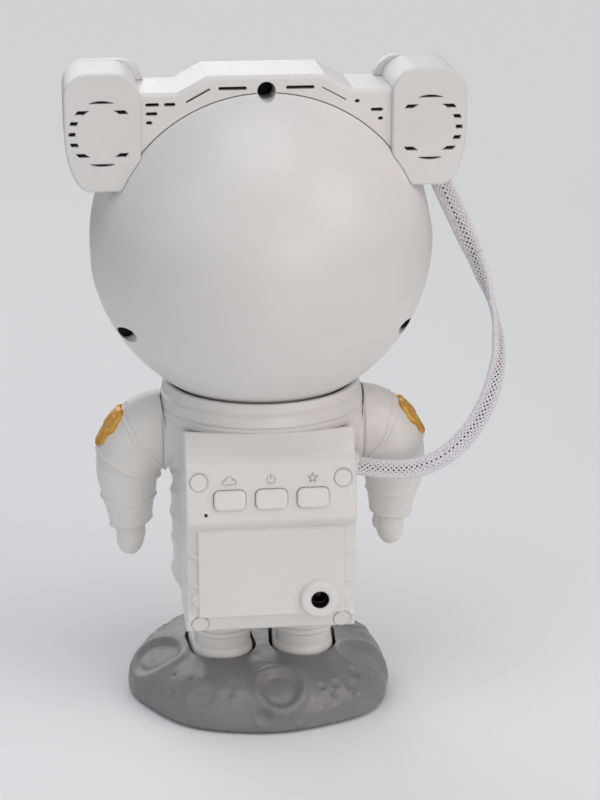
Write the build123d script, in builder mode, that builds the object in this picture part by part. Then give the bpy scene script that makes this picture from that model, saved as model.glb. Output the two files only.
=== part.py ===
from build123d import *
from math import atan2, cos, degrees, pi, radians, sin, sqrt, tan
import os

# Star night light projector: a space-suited figure on a moon base. The ball head holds the
# star laser and the nebula lamp, the backpack holds the buttons and the DC inlet, and a
# braided hose carries the wires from the backpack to the right ear box.
#
# Millimetres, +Z up. The figure looks along -Y, its backpack faces +Y, its own right is -X.
# The origin is on the table, under the axis that the head turns about.

# ---------------------------------------------------------------- driving dimensions

# Fits, each side
WALL = 2.0             # moulded shells
SEAM = 0.25            # open line between two mouldings
FIT = 0.15             # pieces that seat in or on each other
SLIDE = 0.2            # round a button
RUNNING = 0.05         # round the motor shaft
SEAT = 0.1             # under a piece that rests on another body
SCREW_R = 1.45         # shank of every self-tapping screw
PILOT_R = 1.5          # hole that a screw goes into
SCREW_HEAD_R = 2.6
SCREW_HEAD_H = 2.0
FLAT_HEAD_H = 0.6      # of the base screws, sunk in the pad

# Moon base
BASE_Y = -8.0          # centre of the base, in front of the figure's axis
BASE_R = 46.3
BASE_RIM = 3.5         # upright rim all round
MOUND_TOP = 17.5
MOUND_POWER = 1.95             # how the mound falls away from its middle
MOUND_REACH = 1.05             # its round form reaches past the mean radius
BASE_WALL = 3.0                # at the rim
BASE_ROOF = 4.2                # under the mound, with room for the craters
BASE_POST_R = 3.2              # round the base screws
LOBES = ((0.020, 3, 0.4), (0.014, 5, 1.9), (0.009, 8, 0.8))   # share of radius, waves, phase
PAD_R = 38.0
PAD_THICK = 0.8
COVER_R = 41.0
COVER_THICK = 1.8
WEIGHT_R = 33.0
WEIGHT_THICK = 3.0
SOCKET_FLOOR = 8.0     # top of the socket floor
SOCKET_WALL = 2.0
SOCKET_GAP = 1.3       # open gap round each boot
BASE_SCREW_AT = 36.5   # screws' distance from the base centre

# Craters: x, y, radius of the mouth, depth
CRATERS = (
    (-3.5, 18.0, 7.6, 1.9),
    (-0.5, 33.0, 2.9, 0.9),
    (33.5, -6.0, 8.5, 1.5),
    (-31.0, -18.0, 6.0, 1.4),
    (8.0, -42.0, 4.6, 1.1),
    (-34.0, 8.0, 3.2, 0.8),
)

# Legs and boots
LEG_X = 14.3
LEG_R = 9.9
LEG_BORE_R = 7.4
BOOT_TOE_Y = -10.0     # centre of the toe's round
BOOT_R = 10.7
BOOT_HEIGHT = 14.0
LEG_BEAD_Z = 25.6
LEG_BEAD_R = 10.7
LEG_BEAD_H = 2.2
SPIGOT_R = 8.4
SPIGOT_H = 4.0

# Suit: height, half width, half depth
TORSO = (
    (35.0, 25.0, 17.0),
    (39.0, 29.0, 20.0),
    (50.0, 32.0, 22.5),
    (70.0, 33.8, 23.5),
    (90.0, 34.4, 24.5),
    (100.0, 34.4, 28.0),
    (107.0, 34.2, 32.5),
)
TORSO_BOTTOM = TORSO[0][0]
TORSO_TOP = TORSO[-1][0]
BACK_WINDOW_W = 44.0
BACK_WINDOW_LOW = 42.0
BACK_WINDOW_HIGH = 99.0

# Arm: centre x, y, z, tilt of the section below the horizontal, half depth, half height
ARM = (
    (26.0, 0.0, 97.5, 0.0, 11.5, 14.5),
    (37.0, 0.0, 98.0, 14.0, 11.8, 14.6),
    (44.0, -0.2, 94.5, 44.0, 11.8, 13.2),
    (47.0, -0.8, 85.5, 78.0, 11.4, 11.4),
    (46.2, -1.8, 75.0, 92.0, 9.6, 9.2),
    (45.6, -3.0, 64.5, 93.0, 7.4, 7.2),
)
CUFF_R = 6.3
CUFF_H = 2.4
GLOVE = ((45.7, -3.2, 63.5, 5.4), (45.8, -3.8, 59.0, 5.7), (46.2, -4.0, 56.0, 4.6))
GLOVE_TIP = 52.8
THUMB = (41.0, -5.6, 58.6, 2.4)
PATCH = (53.0, 1.5, 102.5)     # centre of the gold shoulder patch
PATCH_AROUND = 9.6             # half size round the arm
PATCH_THICK = 1.6

# Neck
COLLAR_R = 35.2
COLLAR_TOP = 117.8
COLLAR_FLOOR = 106.2
NECK_SPIGOT_R = 27.8           # ring that centres the collar in the suit
CUP_GAP = 0.7                  # between ball and collar lip
NECK_PAD_IN = 13.0
NECK_PAD_OUT = 22.6
MAGNET_R = 9.5
MAGNET_H = 4.6
MAGNET_GAP = 0.5
BALL_GAP = 0.3                 # between ball and neck pad

# Head
HEAD_Z = 167.0
HEAD_R = 58.0
SEAM_TURN = 205.0              # where the ball surfaces close
STEP = 0.6                     # front shell lies this much below the rear dome
PARTING = ((24.0, 240.0), (24.0, 190.0), (8.0, 165.0), (0.0, 148.0), (0.0, 100.0))
CROWN_FLAT = 223.2             # the shells stop here, under the band
HELMET_SCREW_AT = 53.5         # distance of the three screws from the ball's centre line
HELMET_SCREW_ANGLES = (90.0, 210.0, 330.0)
HELMET_HOLE_R = 2.95
HELMET_TUBE_R = 4.0
HELMET_TUBE_Y = 11.0
HELMET_POST_LONG = 22.0

# Visor: half width, half height, centre height
VISOR_W = 42.0
VISOR_H = 33.0
VISOR_Z = 168.0
BEZEL = 3.2
BEZEL_PROUD = 0.7
VISOR_THICK = 2.2

# Headband over the crown
BAND_BACK = 24.0
BAND_FRONT = -7.0
BAND_HALF = 41.5
BAND_CROWN = 225.5
BAND_SIDE = 220.4
BAND_BREAK_IN = 19.0
BAND_BREAK_OUT = 28.5
BAND_EDGE = 1.6
SLOT = 1.1
LINER = 0.6

# Ear boxes
EAR_IN = 40.7
EAR_OUT = 65.0
EAR_LOW = 189.0
EAR_HIGH = 227.2
EAR_BACK = 26.0
EAR_SPLIT = -1.0
EAR_FRONT = -8.0
EAR_CORNER = 8.0
EAR_LOW_CORNER = (8.0, 19.0)   # width and height of the long lower corner
EAR_WALL = 1.8
EAR_CAP_GROW = 2.4             # front cap reaches this much further in
EAR_EDGE = 0.8
RING_X = 53.0
RING_Z = 208.0
RING_OUT = 10.6
RING_IN = 8.4
RING_ROW = 3.45
RING_SLOT = 1.25

# Backpack, seen from the side: fold, button panel, strip and lip
PACK_HALF = 28.5
PACK_TOP = (27.5, 108.5)
PACK_FOLD = (33.0, 97.6)
PACK_BROW = (36.0, 77.6)
PACK_STRIP = (34.2, 74.8)
PACK_LIP = (34.2, 43.4)
PACK_FOOT = (32.0, 37.2)
PACK_INSIDE = 2.0              # the blank reaches this far into the suit
PACK_WALL = 2.2
PACK_EDGE = 1.3
POCKET_HALF = 25.0
POCKET_LOW = 43.4
POCKET_HIGH = 74.6
POCKET_PROUD = 1.2
RIB_HEIGHTS = (65.5, 55.0)
RIB_H = 1.3
STUD_Z = 49.8
STUD_R = 2.5
CAP_X = 24.2
CAP_TOP_Z = 91.6
CAP_LOW_Z = 40.4
CAP_R = 2.9
CAP_THICK = 1.2
BOSS_R = 4.2                   # round the screw heads
BOSS_NECK_R = 2.8              # round the shanks
PACK_SCREW_SEAT = 25.0
PACK_SCREW_TIP = 9.0

# Buttons, board and inlet
BUTTON_Z = 85.4
BUTTON_PITCH = 14.0
BUTTON_W = 10.7
BUTTON_H = 6.8
BUTTON_CORNER = 2.0
BUTTON_PROUD = 1.5
BUTTON_FLANGE = 0.9
BUTTON_TRAVEL = 0.6
STEM_R = 2.0
STEM_LONG = 2.6
SWITCH = 6.2
SWITCH_H = 3.4
PLUNGER_R = 1.75
PLUNGER_H = 0.5
BOARD_W = 44.0
BOARD_H = 20.0
BOARD_THICK = 1.6
CHIP = 6.5
CHIP_H = 1.6
CHIPS = ((-9.0, 0.0), (8.0, 1.0))   # from the middle of either board
BUZZER = (17.0, -5.0)
BUZZER_R = 2.5
STANDOFF_R = 2.2
MIC_X = 22.0
MIC_DOWN = -4.9                # along the panel, from the buttons' row
MIC_HOLE_R = 0.6
INLET_X = -16.2
INLET_Z = 49.2
INLET_BOSS_R = 6.7
INLET_PROUD = 2.3
INLET_HOLE_R = 3.1
JACK_W = 10.0
JACK_H = 11.5
JACK_DEEP = 13.0
JACK_BORE_R = 2.85
JACK_BORE_DEEP = 9.5
JACK_PIN_R = 1.0

# Chest pack
CHEST_Z = 74.0
CHEST_W = 31.0
CHEST_H = 19.0
CHEST_FRONT = -29.5
DIAL_R = 4.2

# Optics, all along Y inside the ball
FRAME_R = 52.5
FRAME_THICK = 2.5
LEDGE = 2.0
LEDGE_IN = 49.5
LAMP_Z = 175.0
SHAFT_Z = 155.5
LASER_X = 17.0
LASER_Z = 149.5
LASER_R = 4.6
LASER_LONG = 24.0
WHEEL_R = 25.0
WHEEL_THICK = 2.0
WHEEL_Y = -11.5                # rear face of the wheel
HUB_R = 4.0
HUB_LONG = 2.0
SHAFT_R = 1.5
MOTOR_R = 10.0
MOTOR_LONG = 14.0
LED_W = 17.0
LED_THICK = 1.5
EMITTER_R = 2.8
EMITTER_H = 1.6
SINK_LONG = 12.0
SINK_FINS = 5
CONDENSER_R = 7.0
CONDENSER_THICK = 4.0
BRIDGE_Y = -18.0               # rear face of the bridge plate
BRIDGE_THICK = 2.0
BARREL_R = 14.0
BARREL_BORE_R = 12.0
BARREL_FRONT = -58.2
LENS_THICK = 5.0
LENS_SUNK = 1.2
GRATING_THICK = 1.0
OPTICS_SCREW_AT = 45.0
OPTICS_SCREW_ANGLES = (30.0, 150.0, 270.0)
OPTICS_BOSS_R = 3.4
HEAD_BOARD_Z = 200.0
HEAD_BOARD_Y = 20.0
HEAD_BOARD_W = 40.0
HEAD_BOARD_H = 22.0
STEEL_R = 22.0
STEEL_THICK = 1.5

# Braided hose, from the backpack's right side to the right ear box
HOSE_R = 3.5
HOSE_ROUTE = (
    (-30.6, 20.5, 91.0),
    (-46.5, 21.6, 88.2),
    (-61.5, 22.0, 91.0),
    (-73.0, 21.4, 102.0),
    (-79.5, 19.8, 118.0),
    (-80.5, 17.6, 135.0),
    (-76.0, 14.6, 150.5),
    (-67.3, 9.8, 170.7),
    (-62.0, 7.0, 181.8),
    (-57.2, 4.6, 192.6),
)
HOSE_SPLIT_RUN = 6             # the two halves meet on this run
HOSE_SPLIT_SHARE = 0.57
GLAND_R = 4.2
GLAND_FLANGE_R = 5.2
GLAND_BORE_R = 2.0             # for the wires
GLAND_UPPER_R = 3.7
GLAND_UPPER_LONG = 4.0

# ---------------------------------------------------------------- shared planes and forms


def upright(y):
    """Sketch plane across the depth at y: local x is X, local y is Z, extrude goes to -Y."""
    return Plane.XZ.offset(-y)


def ball(radius):
    """Solid ball about the head's centre, its seam turned away from posts and boxes."""
    with BuildPart() as solid:
        with Locations(Location((0, 0, HEAD_Z), (0, 0, SEAM_TURN))):
            Sphere(radius)
    return solid.part


def ball_shell(radius, thick):
    """Hollow ball about the head's centre."""
    with BuildPart() as shell:
        with Locations(Location((0, 0, HEAD_Z), (0, 0, SEAM_TURN))):
            Sphere(radius)
            Sphere(radius - thick, mode=Mode.SUBTRACT)
    return shell.part


def rods(points, radius, y_back, y_front):
    """Round rods along Y at the (x, z) points."""
    with BuildPart() as group:
        with BuildSketch(upright(y_back)):
            with Locations(*points):
                Circle(radius)
        extrude(amount=y_back - y_front)
    return group.part


def polar(distance, angles):
    """(x, z) points at the angles round the head's centre line."""
    return [
        (distance * cos(radians(a)), HEAD_Z + distance * sin(radians(a))) for a in angles
    ]


HELMET_SCREWS = polar(HELMET_SCREW_AT, HELMET_SCREW_ANGLES)
OPTICS_SCREWS = polar(OPTICS_SCREW_AT, OPTICS_SCREW_ANGLES)
BASE_SCREWS = [
    (BASE_SCREW_AT * cos(radians(a)), BASE_Y + BASE_SCREW_AT * sin(radians(a)))
    for a in (45, 135, 225, 315)
]


def suit_form(grow):
    """Closed outer form of the suit's trunk, larger all round by grow."""
    with BuildPart() as form:
        for z, half_width, half_depth in TORSO:
            with BuildSketch(Plane.XY.offset(z)):
                Ellipse(half_width + grow, half_depth + grow)
        loft()
    return form.part


def moon_outline(inset):
    """Points of the base's lobed outline, moved inwards by inset."""
    points = []
    for step in range(36):
        angle = 2 * pi * step / 36
        share = 1 + sum(size * sin(waves * angle + phase) for size, waves, phase in LOBES)
        radius = BASE_R * share - inset
        points.append((radius * cos(angle), BASE_Y + radius * sin(angle)))
    return points


def mound_height(share):
    """Height of the mound at a share of its reach."""
    return BASE_RIM + (MOUND_TOP - BASE_RIM) * (1 - share**MOUND_POWER)


def mound_slope(share):
    """How steeply the mound falls at a share of its reach."""
    fall = MOUND_POWER * (MOUND_TOP - BASE_RIM) * share ** (MOUND_POWER - 1)
    return fall / (BASE_R * MOUND_REACH)


def moon_form(inset, drop):
    """The base's closed mound, its outline moved inwards by inset, lowered by drop."""
    reach = BASE_R * MOUND_REACH
    axis = Axis((0, BASE_Y, 0), (0, 0, 1))
    with BuildPart() as form:
        with BuildSketch(Plane(origin=(0, BASE_Y, -drop), x_dir=(1, 0, 0), z_dir=(0, -1, 0))):
            with BuildLine():
                Polyline((0, MOUND_TOP), (0, 0), (reach, 0), (reach, BASE_RIM))
                Spline(
                    *[(reach * share, mound_height(share)) for share in (1, 0.8, 0.5, 0)],
                    tangents=((-1, mound_slope(1)), (-1, 0)),
                )
            make_face()
        revolve(axis=axis)
        with BuildSketch(Plane.XY.offset(-drop)):
            with BuildLine():
                Spline(*moon_outline(inset), periodic=True)
            make_face()
        extrude(amount=MOUND_TOP, mode=Mode.INTERSECT)
    return form.part


def moon_ground(x, y):
    """Point on the mound over (x, y), and the direction that points away from it there."""
    out = Vector(x, y - BASE_Y)
    share = out.length / (BASE_R * MOUND_REACH)
    lean = out.normalized() * mound_slope(share)
    return Vector(x, y, mound_height(share)), Vector(lean.X, lean.Y, 1).normalized()


def boot_prism(side, grow, low, high):
    """Upright prism of one boot's footprint, larger all round by grow."""
    with BuildPart() as prism:
        with BuildSketch(Plane.XY.offset(low)):
            with Locations((side * LEG_X, 0), (side * (LEG_X + 0.8), BOOT_TOE_Y)):
                Circle(BOOT_R + grow)
            make_hull()
        extrude(amount=high - low)
    return prism.part


# ---------------------------------------------------------------- moon base

COVER_LOW = PAD_THICK
WEIGHT_LOW = COVER_LOW + COVER_THICK
BASE_SKIN = 0.4                # wells and posts stop this far inside the skin
SOCKET_LOW = SOCKET_FLOOR - SOCKET_WALL

with BuildPart() as socket_wells:
    for side in (1, -1):
        add(boot_prism(side, SOCKET_GAP + SOCKET_WALL, SOCKET_LOW, MOUND_TOP))
    with BuildSketch(Plane.XY.offset(WEIGHT_LOW + FIT)):
        with Locations(*BASE_SCREWS):
            Circle(BASE_POST_R)
    extrude(amount=MOUND_TOP - WEIGHT_LOW)
    add(moon_form(BASE_SKIN, BASE_SKIN), mode=Mode.INTERSECT)

with BuildPart() as moon_base:
    add(moon_form(0, 0))
    add(moon_form(BASE_WALL, BASE_ROOF), mode=Mode.SUBTRACT)
    with BuildSketch(Plane.XY):
        with Locations((0, BASE_Y)):
            Circle(COVER_R + FIT)
    extrude(amount=WEIGHT_LOW + FIT, mode=Mode.SUBTRACT)
    add(socket_wells.part)
    for side in (1, -1):
        add(boot_prism(side, SOCKET_GAP, SOCKET_FLOOR, MOUND_TOP + 1), mode=Mode.SUBTRACT)
    for crater_x, crater_y, mouth, deep in CRATERS:
        bowl = (mouth**2 + deep**2) / (2 * deep)
        ground, upwards = moon_ground(crater_x, crater_y)
        with Locations(ground + upwards * (bowl - deep)):
            Sphere(bowl, mode=Mode.SUBTRACT)
    with BuildSketch(Plane.XY):
        with Locations(*BASE_SCREWS):
            Circle(PILOT_R)
    extrude(amount=SOCKET_FLOOR, mode=Mode.SUBTRACT)
moon_base.part.label = "moon_base"
export_step(moon_base.part, "parts/moon_base.step")

with BuildPart() as base_cover:
    with BuildSketch(Plane.XY.offset(COVER_LOW)):
        with Locations((0, BASE_Y)):
            Circle(COVER_R)
    extrude(amount=COVER_THICK)
    with BuildSketch(Plane.XY.offset(COVER_LOW)):
        with Locations(*BASE_SCREWS):
            Circle(PILOT_R + FIT)
    extrude(amount=COVER_THICK, mode=Mode.SUBTRACT)
base_cover.part.label = "base_cover"
export_step(base_cover.part, "parts/base_cover.step")

with BuildPart() as base_weight:
    with BuildSketch(Plane.XY.offset(WEIGHT_LOW)):
        with Locations((0, BASE_Y)):
            Circle(WEIGHT_R)
        with Locations(*BASE_SCREWS):
            Circle(BASE_POST_R + FIT, mode=Mode.SUBTRACT)
    extrude(amount=WEIGHT_THICK)
base_weight.part.label = "base_weight"
export_step(base_weight.part, "parts/base_weight.step")

with BuildPart() as base_pad:
    with BuildSketch(Plane.XY):
        with Locations((0, BASE_Y)):
            Circle(PAD_R)
        with Locations(*BASE_SCREWS):
            Circle(SCREW_HEAD_R + FIT, mode=Mode.SUBTRACT)
    extrude(amount=PAD_THICK)
base_pad.part.label = "base_pad"
export_step(base_pad.part, "parts/base_pad.step")

with BuildPart() as base_screws:
    with BuildSketch(Plane.XY.offset(COVER_LOW - FLAT_HEAD_H)):
        with Locations(*BASE_SCREWS):
            Circle(SCREW_HEAD_R)
    extrude(amount=FLAT_HEAD_H)
    with BuildSketch(Plane.XY.offset(COVER_LOW)):
        with Locations(*BASE_SCREWS):
            Circle(SCREW_R)
    extrude(amount=SOCKET_FLOOR - COVER_LOW - 0.5)
base_screws.part.label = "base_screws"
export_step(base_screws.part, "parts/base_screws.step")

# ---------------------------------------------------------------- legs

SOLE = SOCKET_FLOOR + SEAT

for side, name in ((1, "left"), (-1, "right")):
    with BuildPart() as leg:
        add(boot_prism(side, 0, SOLE, SOLE + BOOT_HEIGHT))
        fillet(leg.faces().sort_by(Axis.Z)[-1].edges(), 4.5)
        fillet(leg.faces().sort_by(Axis.Z)[0].edges(), 0.8)
        with BuildSketch(Plane.XY.offset(SOLE + 1)):
            with Locations((side * LEG_X, 0)):
                Circle(LEG_R)
        extrude(amount=TORSO_BOTTOM - SOLE - 1)
        with BuildSketch(Plane.XY.offset(LEG_BEAD_Z - LEG_BEAD_H / 2)):
            with Locations((side * LEG_X, 0)):
                Circle(LEG_BEAD_R)
        extrude(amount=LEG_BEAD_H)
        bead = leg.edges().filter_by(GeomType.CIRCLE)
        fillet(bead.filter_by(lambda e: abs(e.radius - LEG_BEAD_R) < 0.01), 0.7)
        with BuildSketch(Plane.XY.offset(TORSO_BOTTOM)):
            with Locations((side * LEG_X, 0)):
                Circle(SPIGOT_R)
        extrude(amount=SPIGOT_H)
        with BuildSketch(Plane.XY.offset(SOLE + 2 * WALL)):
            with Locations((side * LEG_X, 0)):
                Circle(LEG_BORE_R - WALL / 2)
        extrude(amount=TORSO_BOTTOM + SPIGOT_H - SOLE, mode=Mode.SUBTRACT)
    leg.part.label = f"{name}_leg"
    export_step(leg.part, f"parts/{name}_leg.step")

# ---------------------------------------------------------------- suit

PACK_SCREWS = [(x, z) for x in (CAP_X, -CAP_X) for z in (CAP_TOP_Z, CAP_LOW_Z)]

with BuildPart() as suit_shell:
    add(suit_form(0))
    with BuildPart(mode=Mode.PRIVATE) as suit_inside:
        add(suit_form(-WALL))
        split(bisect_by=Plane.XY.offset(TORSO_BOTTOM + WALL), keep=Keep.TOP)
    add(suit_inside.part, mode=Mode.SUBTRACT)
    with BuildSketch(Plane.XY.offset(TORSO_BOTTOM)):
        with Locations((LEG_X, 0), (-LEG_X, 0)):
            Circle(SPIGOT_R + FIT)
    extrude(amount=WALL + 1, mode=Mode.SUBTRACT)

with BuildPart() as torso_front:
    add(suit_shell.part)
    split(bisect_by=upright(-SEAM / 2), keep=Keep.TOP)
torso_front.part.label = "torso_front"
export_step(torso_front.part, "parts/torso_front.step")

with BuildPart() as torso_bosses:
    add(rods(PACK_SCREWS, BOSS_R - 0.4, 30.0, PACK_SCREW_TIP - WALL))
    add(suit_form(-0.2), mode=Mode.INTERSECT)

with BuildPart() as torso_rear:
    add(suit_shell.part)
    split(bisect_by=upright(SEAM / 2), keep=Keep.BOTTOM)
    add(torso_bosses.part)
    with BuildSketch(upright(40.0)):
        with Locations((0, (BACK_WINDOW_LOW + BACK_WINDOW_HIGH) / 2)):
            RectangleRounded(BACK_WINDOW_W, BACK_WINDOW_HIGH - BACK_WINDOW_LOW, 4)
    extrude(amount=30, mode=Mode.SUBTRACT)
    add(rods(PACK_SCREWS, PILOT_R, 40.0, PACK_SCREW_TIP - 0.5), mode=Mode.SUBTRACT)
torso_rear.part.label = "torso_rear"
export_step(torso_rear.part, "parts/torso_rear.step")

# ---------------------------------------------------------------- arms


def arm_sections(side, shrink):
    """Loft of the sleeve; shrink makes the space inside it."""
    with BuildPart() as sleeve:
        for x, y, z, tilt, half_depth, half_height in ARM:
            along = (side * cos(radians(tilt)), 0, -sin(radians(tilt)))
            with BuildSketch(Plane(origin=(side * x, y, z), x_dir=(0, 1, 0), z_dir=along)):
                Ellipse(half_depth - shrink, half_height - shrink)
        loft()
    return sleeve.part


with BuildPart() as suit_clear:
    add(suit_form(FIT / 2))

for side, name in ((1, "left"), (-1, "right")):
    wrist_x, wrist_y, wrist_z = ARM[-1][:3]
    with BuildPart() as arm:
        add(arm_sections(side, 0))
        with BuildSketch(Plane.XY.offset(wrist_z - CUFF_H)):
            with Locations((side * wrist_x, wrist_y)):
                Circle(CUFF_R)
        extrude(amount=CUFF_H + 1.2)
        for x, y, z, radius in GLOVE:
            with BuildSketch(Plane.XY.offset(z)):
                with Locations((side * x, y)):
                    Circle(radius)
        loft()
        with Locations((side * GLOVE[-1][0], GLOVE[-1][1], GLOVE_TIP + GLOVE[-1][3])):
            Sphere(GLOVE[-1][3])
        with Locations((side * THUMB[0], THUMB[1], THUMB[2])):
            Sphere(THUMB[3])
        add(arm_sections(side, WALL), mode=Mode.SUBTRACT)
        add(suit_clear.part, mode=Mode.SUBTRACT)
        with BuildSketch(Plane.XY.offset(TORSO_TOP - FIT)):
            Circle(COLLAR_R + FIT)
        extrude(amount=20, mode=Mode.SUBTRACT)
    arm.part.label = f"{name}_arm"
    export_step(arm.part, f"parts/{name}_arm.step")

    with BuildPart() as shoulder_patch:
        with Locations((side * PATCH[0], PATCH[1], PATCH[2])):
            Sphere(PATCH_AROUND)
        with BuildPart(mode=Mode.PRIVATE) as patch_skin:
            add(arm_sections(side, -PATCH_THICK))
        add(patch_skin.part, mode=Mode.INTERSECT)
        with BuildPart(mode=Mode.PRIVATE) as sleeve_clear:
            add(arm_sections(side, -FIT / 2))
        add(sleeve_clear.part, mode=Mode.SUBTRACT)
    shoulder_patch.part.label = f"{name}_shoulder_patch"
    export_step(shoulder_patch.part, f"parts/{name}_shoulder_patch.step")

# ---------------------------------------------------------------- neck

LIP_IN = sqrt((HEAD_R + CUP_GAP) ** 2 - (HEAD_Z - COLLAR_TOP) ** 2)
PAD_SHELF = COLLAR_FLOOR + WALL
CUP_LOW_R = NECK_PAD_OUT + FIT + 1.2
CUP_LOW = HEAD_Z - sqrt((HEAD_R + CUP_GAP) ** 2 - CUP_LOW_R**2)
CUP_MID_R = (LIP_IN + CUP_LOW_R) / 2
CUP_MID = HEAD_Z - sqrt((HEAD_R + CUP_GAP) ** 2 - CUP_MID_R**2)
MAGNET_TOP = HEAD_Z - HEAD_R - MAGNET_GAP

with BuildPart() as neck_collar:
    with BuildSketch(Plane.XZ):
        with BuildLine():
            Polyline(
                (LIP_IN, COLLAR_TOP),
                (LIP_IN + 1.4, COLLAR_TOP),
                (COLLAR_R - 1.0, COLLAR_TOP - 2.6),
                (COLLAR_R - 1.4, COLLAR_TOP - 3.6),
                (COLLAR_R - 0.6, COLLAR_TOP - 4.4),
                (COLLAR_R - 0.2, COLLAR_TOP - 7.6),
                (COLLAR_R - 0.7, COLLAR_TOP - 8.2),
                (COLLAR_R, COLLAR_TOP - 9.0),
                (COLLAR_R, TORSO_TOP),
                (NECK_SPIGOT_R, TORSO_TOP),
                (NECK_SPIGOT_R, COLLAR_FLOOR - 2.0),
                (NECK_SPIGOT_R - WALL, COLLAR_FLOOR - 2.0),
                (NECK_SPIGOT_R - WALL, COLLAR_FLOOR),
                (MAGNET_R + WALL + FIT, COLLAR_FLOOR),
                (MAGNET_R + WALL + FIT, MAGNET_TOP - MAGNET_H - FIT - WALL),
                (0, MAGNET_TOP - MAGNET_H - FIT - WALL),
                (0, MAGNET_TOP - MAGNET_H - FIT),
                (MAGNET_R + FIT, MAGNET_TOP - MAGNET_H - FIT),
                (MAGNET_R + FIT, PAD_SHELF),
                (CUP_LOW_R, PAD_SHELF),
                (CUP_LOW_R, CUP_LOW),
            )
            ThreePointArc((CUP_LOW_R, CUP_LOW), (CUP_MID_R, CUP_MID), (LIP_IN, COLLAR_TOP))
        make_face()
    revolve(axis=Axis.Z)
neck_collar.part.label = "neck_collar"
export_step(neck_collar.part, "parts/neck_collar.step")

with BuildPart() as neck_magnet:
    with BuildSketch(Plane.XY.offset(MAGNET_TOP - MAGNET_H)):
        Circle(MAGNET_R)
    extrude(amount=MAGNET_H)
neck_magnet.part.label = "neck_magnet"
export_step(neck_magnet.part, "parts/neck_magnet.step")

with BuildPart() as neck_pad:
    with BuildSketch(Plane.XY.offset(PAD_SHELF + SEAT)):
        Circle(NECK_PAD_OUT)
        Circle(NECK_PAD_IN, mode=Mode.SUBTRACT)
    extrude(amount=8)
    add(ball(HEAD_R + BALL_GAP), mode=Mode.SUBTRACT)
neck_pad.part.label = "neck_pad"
export_step(neck_pad.part, "parts/neck_pad.step")

# ---------------------------------------------------------------- backpack

PANEL_TILT = degrees(atan2(PACK_BROW[0] - PACK_FOLD[0], PACK_FOLD[1] - PACK_BROW[1]))
PANEL_NORMAL = (0, cos(radians(PANEL_TILT)), sin(radians(PANEL_TILT)))
BUTTON_Y = PACK_FOLD[0] + (PACK_FOLD[1] - BUTTON_Z) * tan(radians(PANEL_TILT))
PANEL = Plane(origin=(0, BUTTON_Y, BUTTON_Z), x_dir=(-1, 0, 0), z_dir=PANEL_NORMAL)
POCKET_Y = PACK_STRIP[0] + POCKET_PROUD
INLET_Y = POCKET_Y + INLET_PROUD
STEM_END = PACK_WALL + SLIDE + BUTTON_FLANGE + STEM_LONG
SWITCH_TOP = STEM_END + BUTTON_TRAVEL + SEAT
BOARD_FACE = SWITCH_TOP + PLUNGER_H + SWITCH_H
STANDOFFS = ((-15.5, 7.2), (15.5, 7.2), (-15.5, -7.2), (15.5, -7.2))
BOSS_UP = (CAP_TOP_Z - BUTTON_Z) / cos(radians(PANEL_TILT))


def pack_side(inset):
    """The backpack's side profile extruded to its width, inset all round."""
    with BuildPart() as blank:
        with BuildSketch(Plane.YZ):
            with BuildLine():
                Polyline(
                    (PACK_INSIDE, PACK_TOP[1]),
                    PACK_TOP,
                    PACK_FOLD,
                    PACK_BROW,
                    PACK_STRIP,
                    PACK_LIP,
                    PACK_FOOT,
                    (PACK_INSIDE, PACK_FOOT[1]),
                    close=True,
                )
            make_face()
            if inset:
                offset(amount=-inset, kind=Kind.INTERSECTION)
        extrude(amount=PACK_HALF - inset, both=True)
    return blank.part


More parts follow.
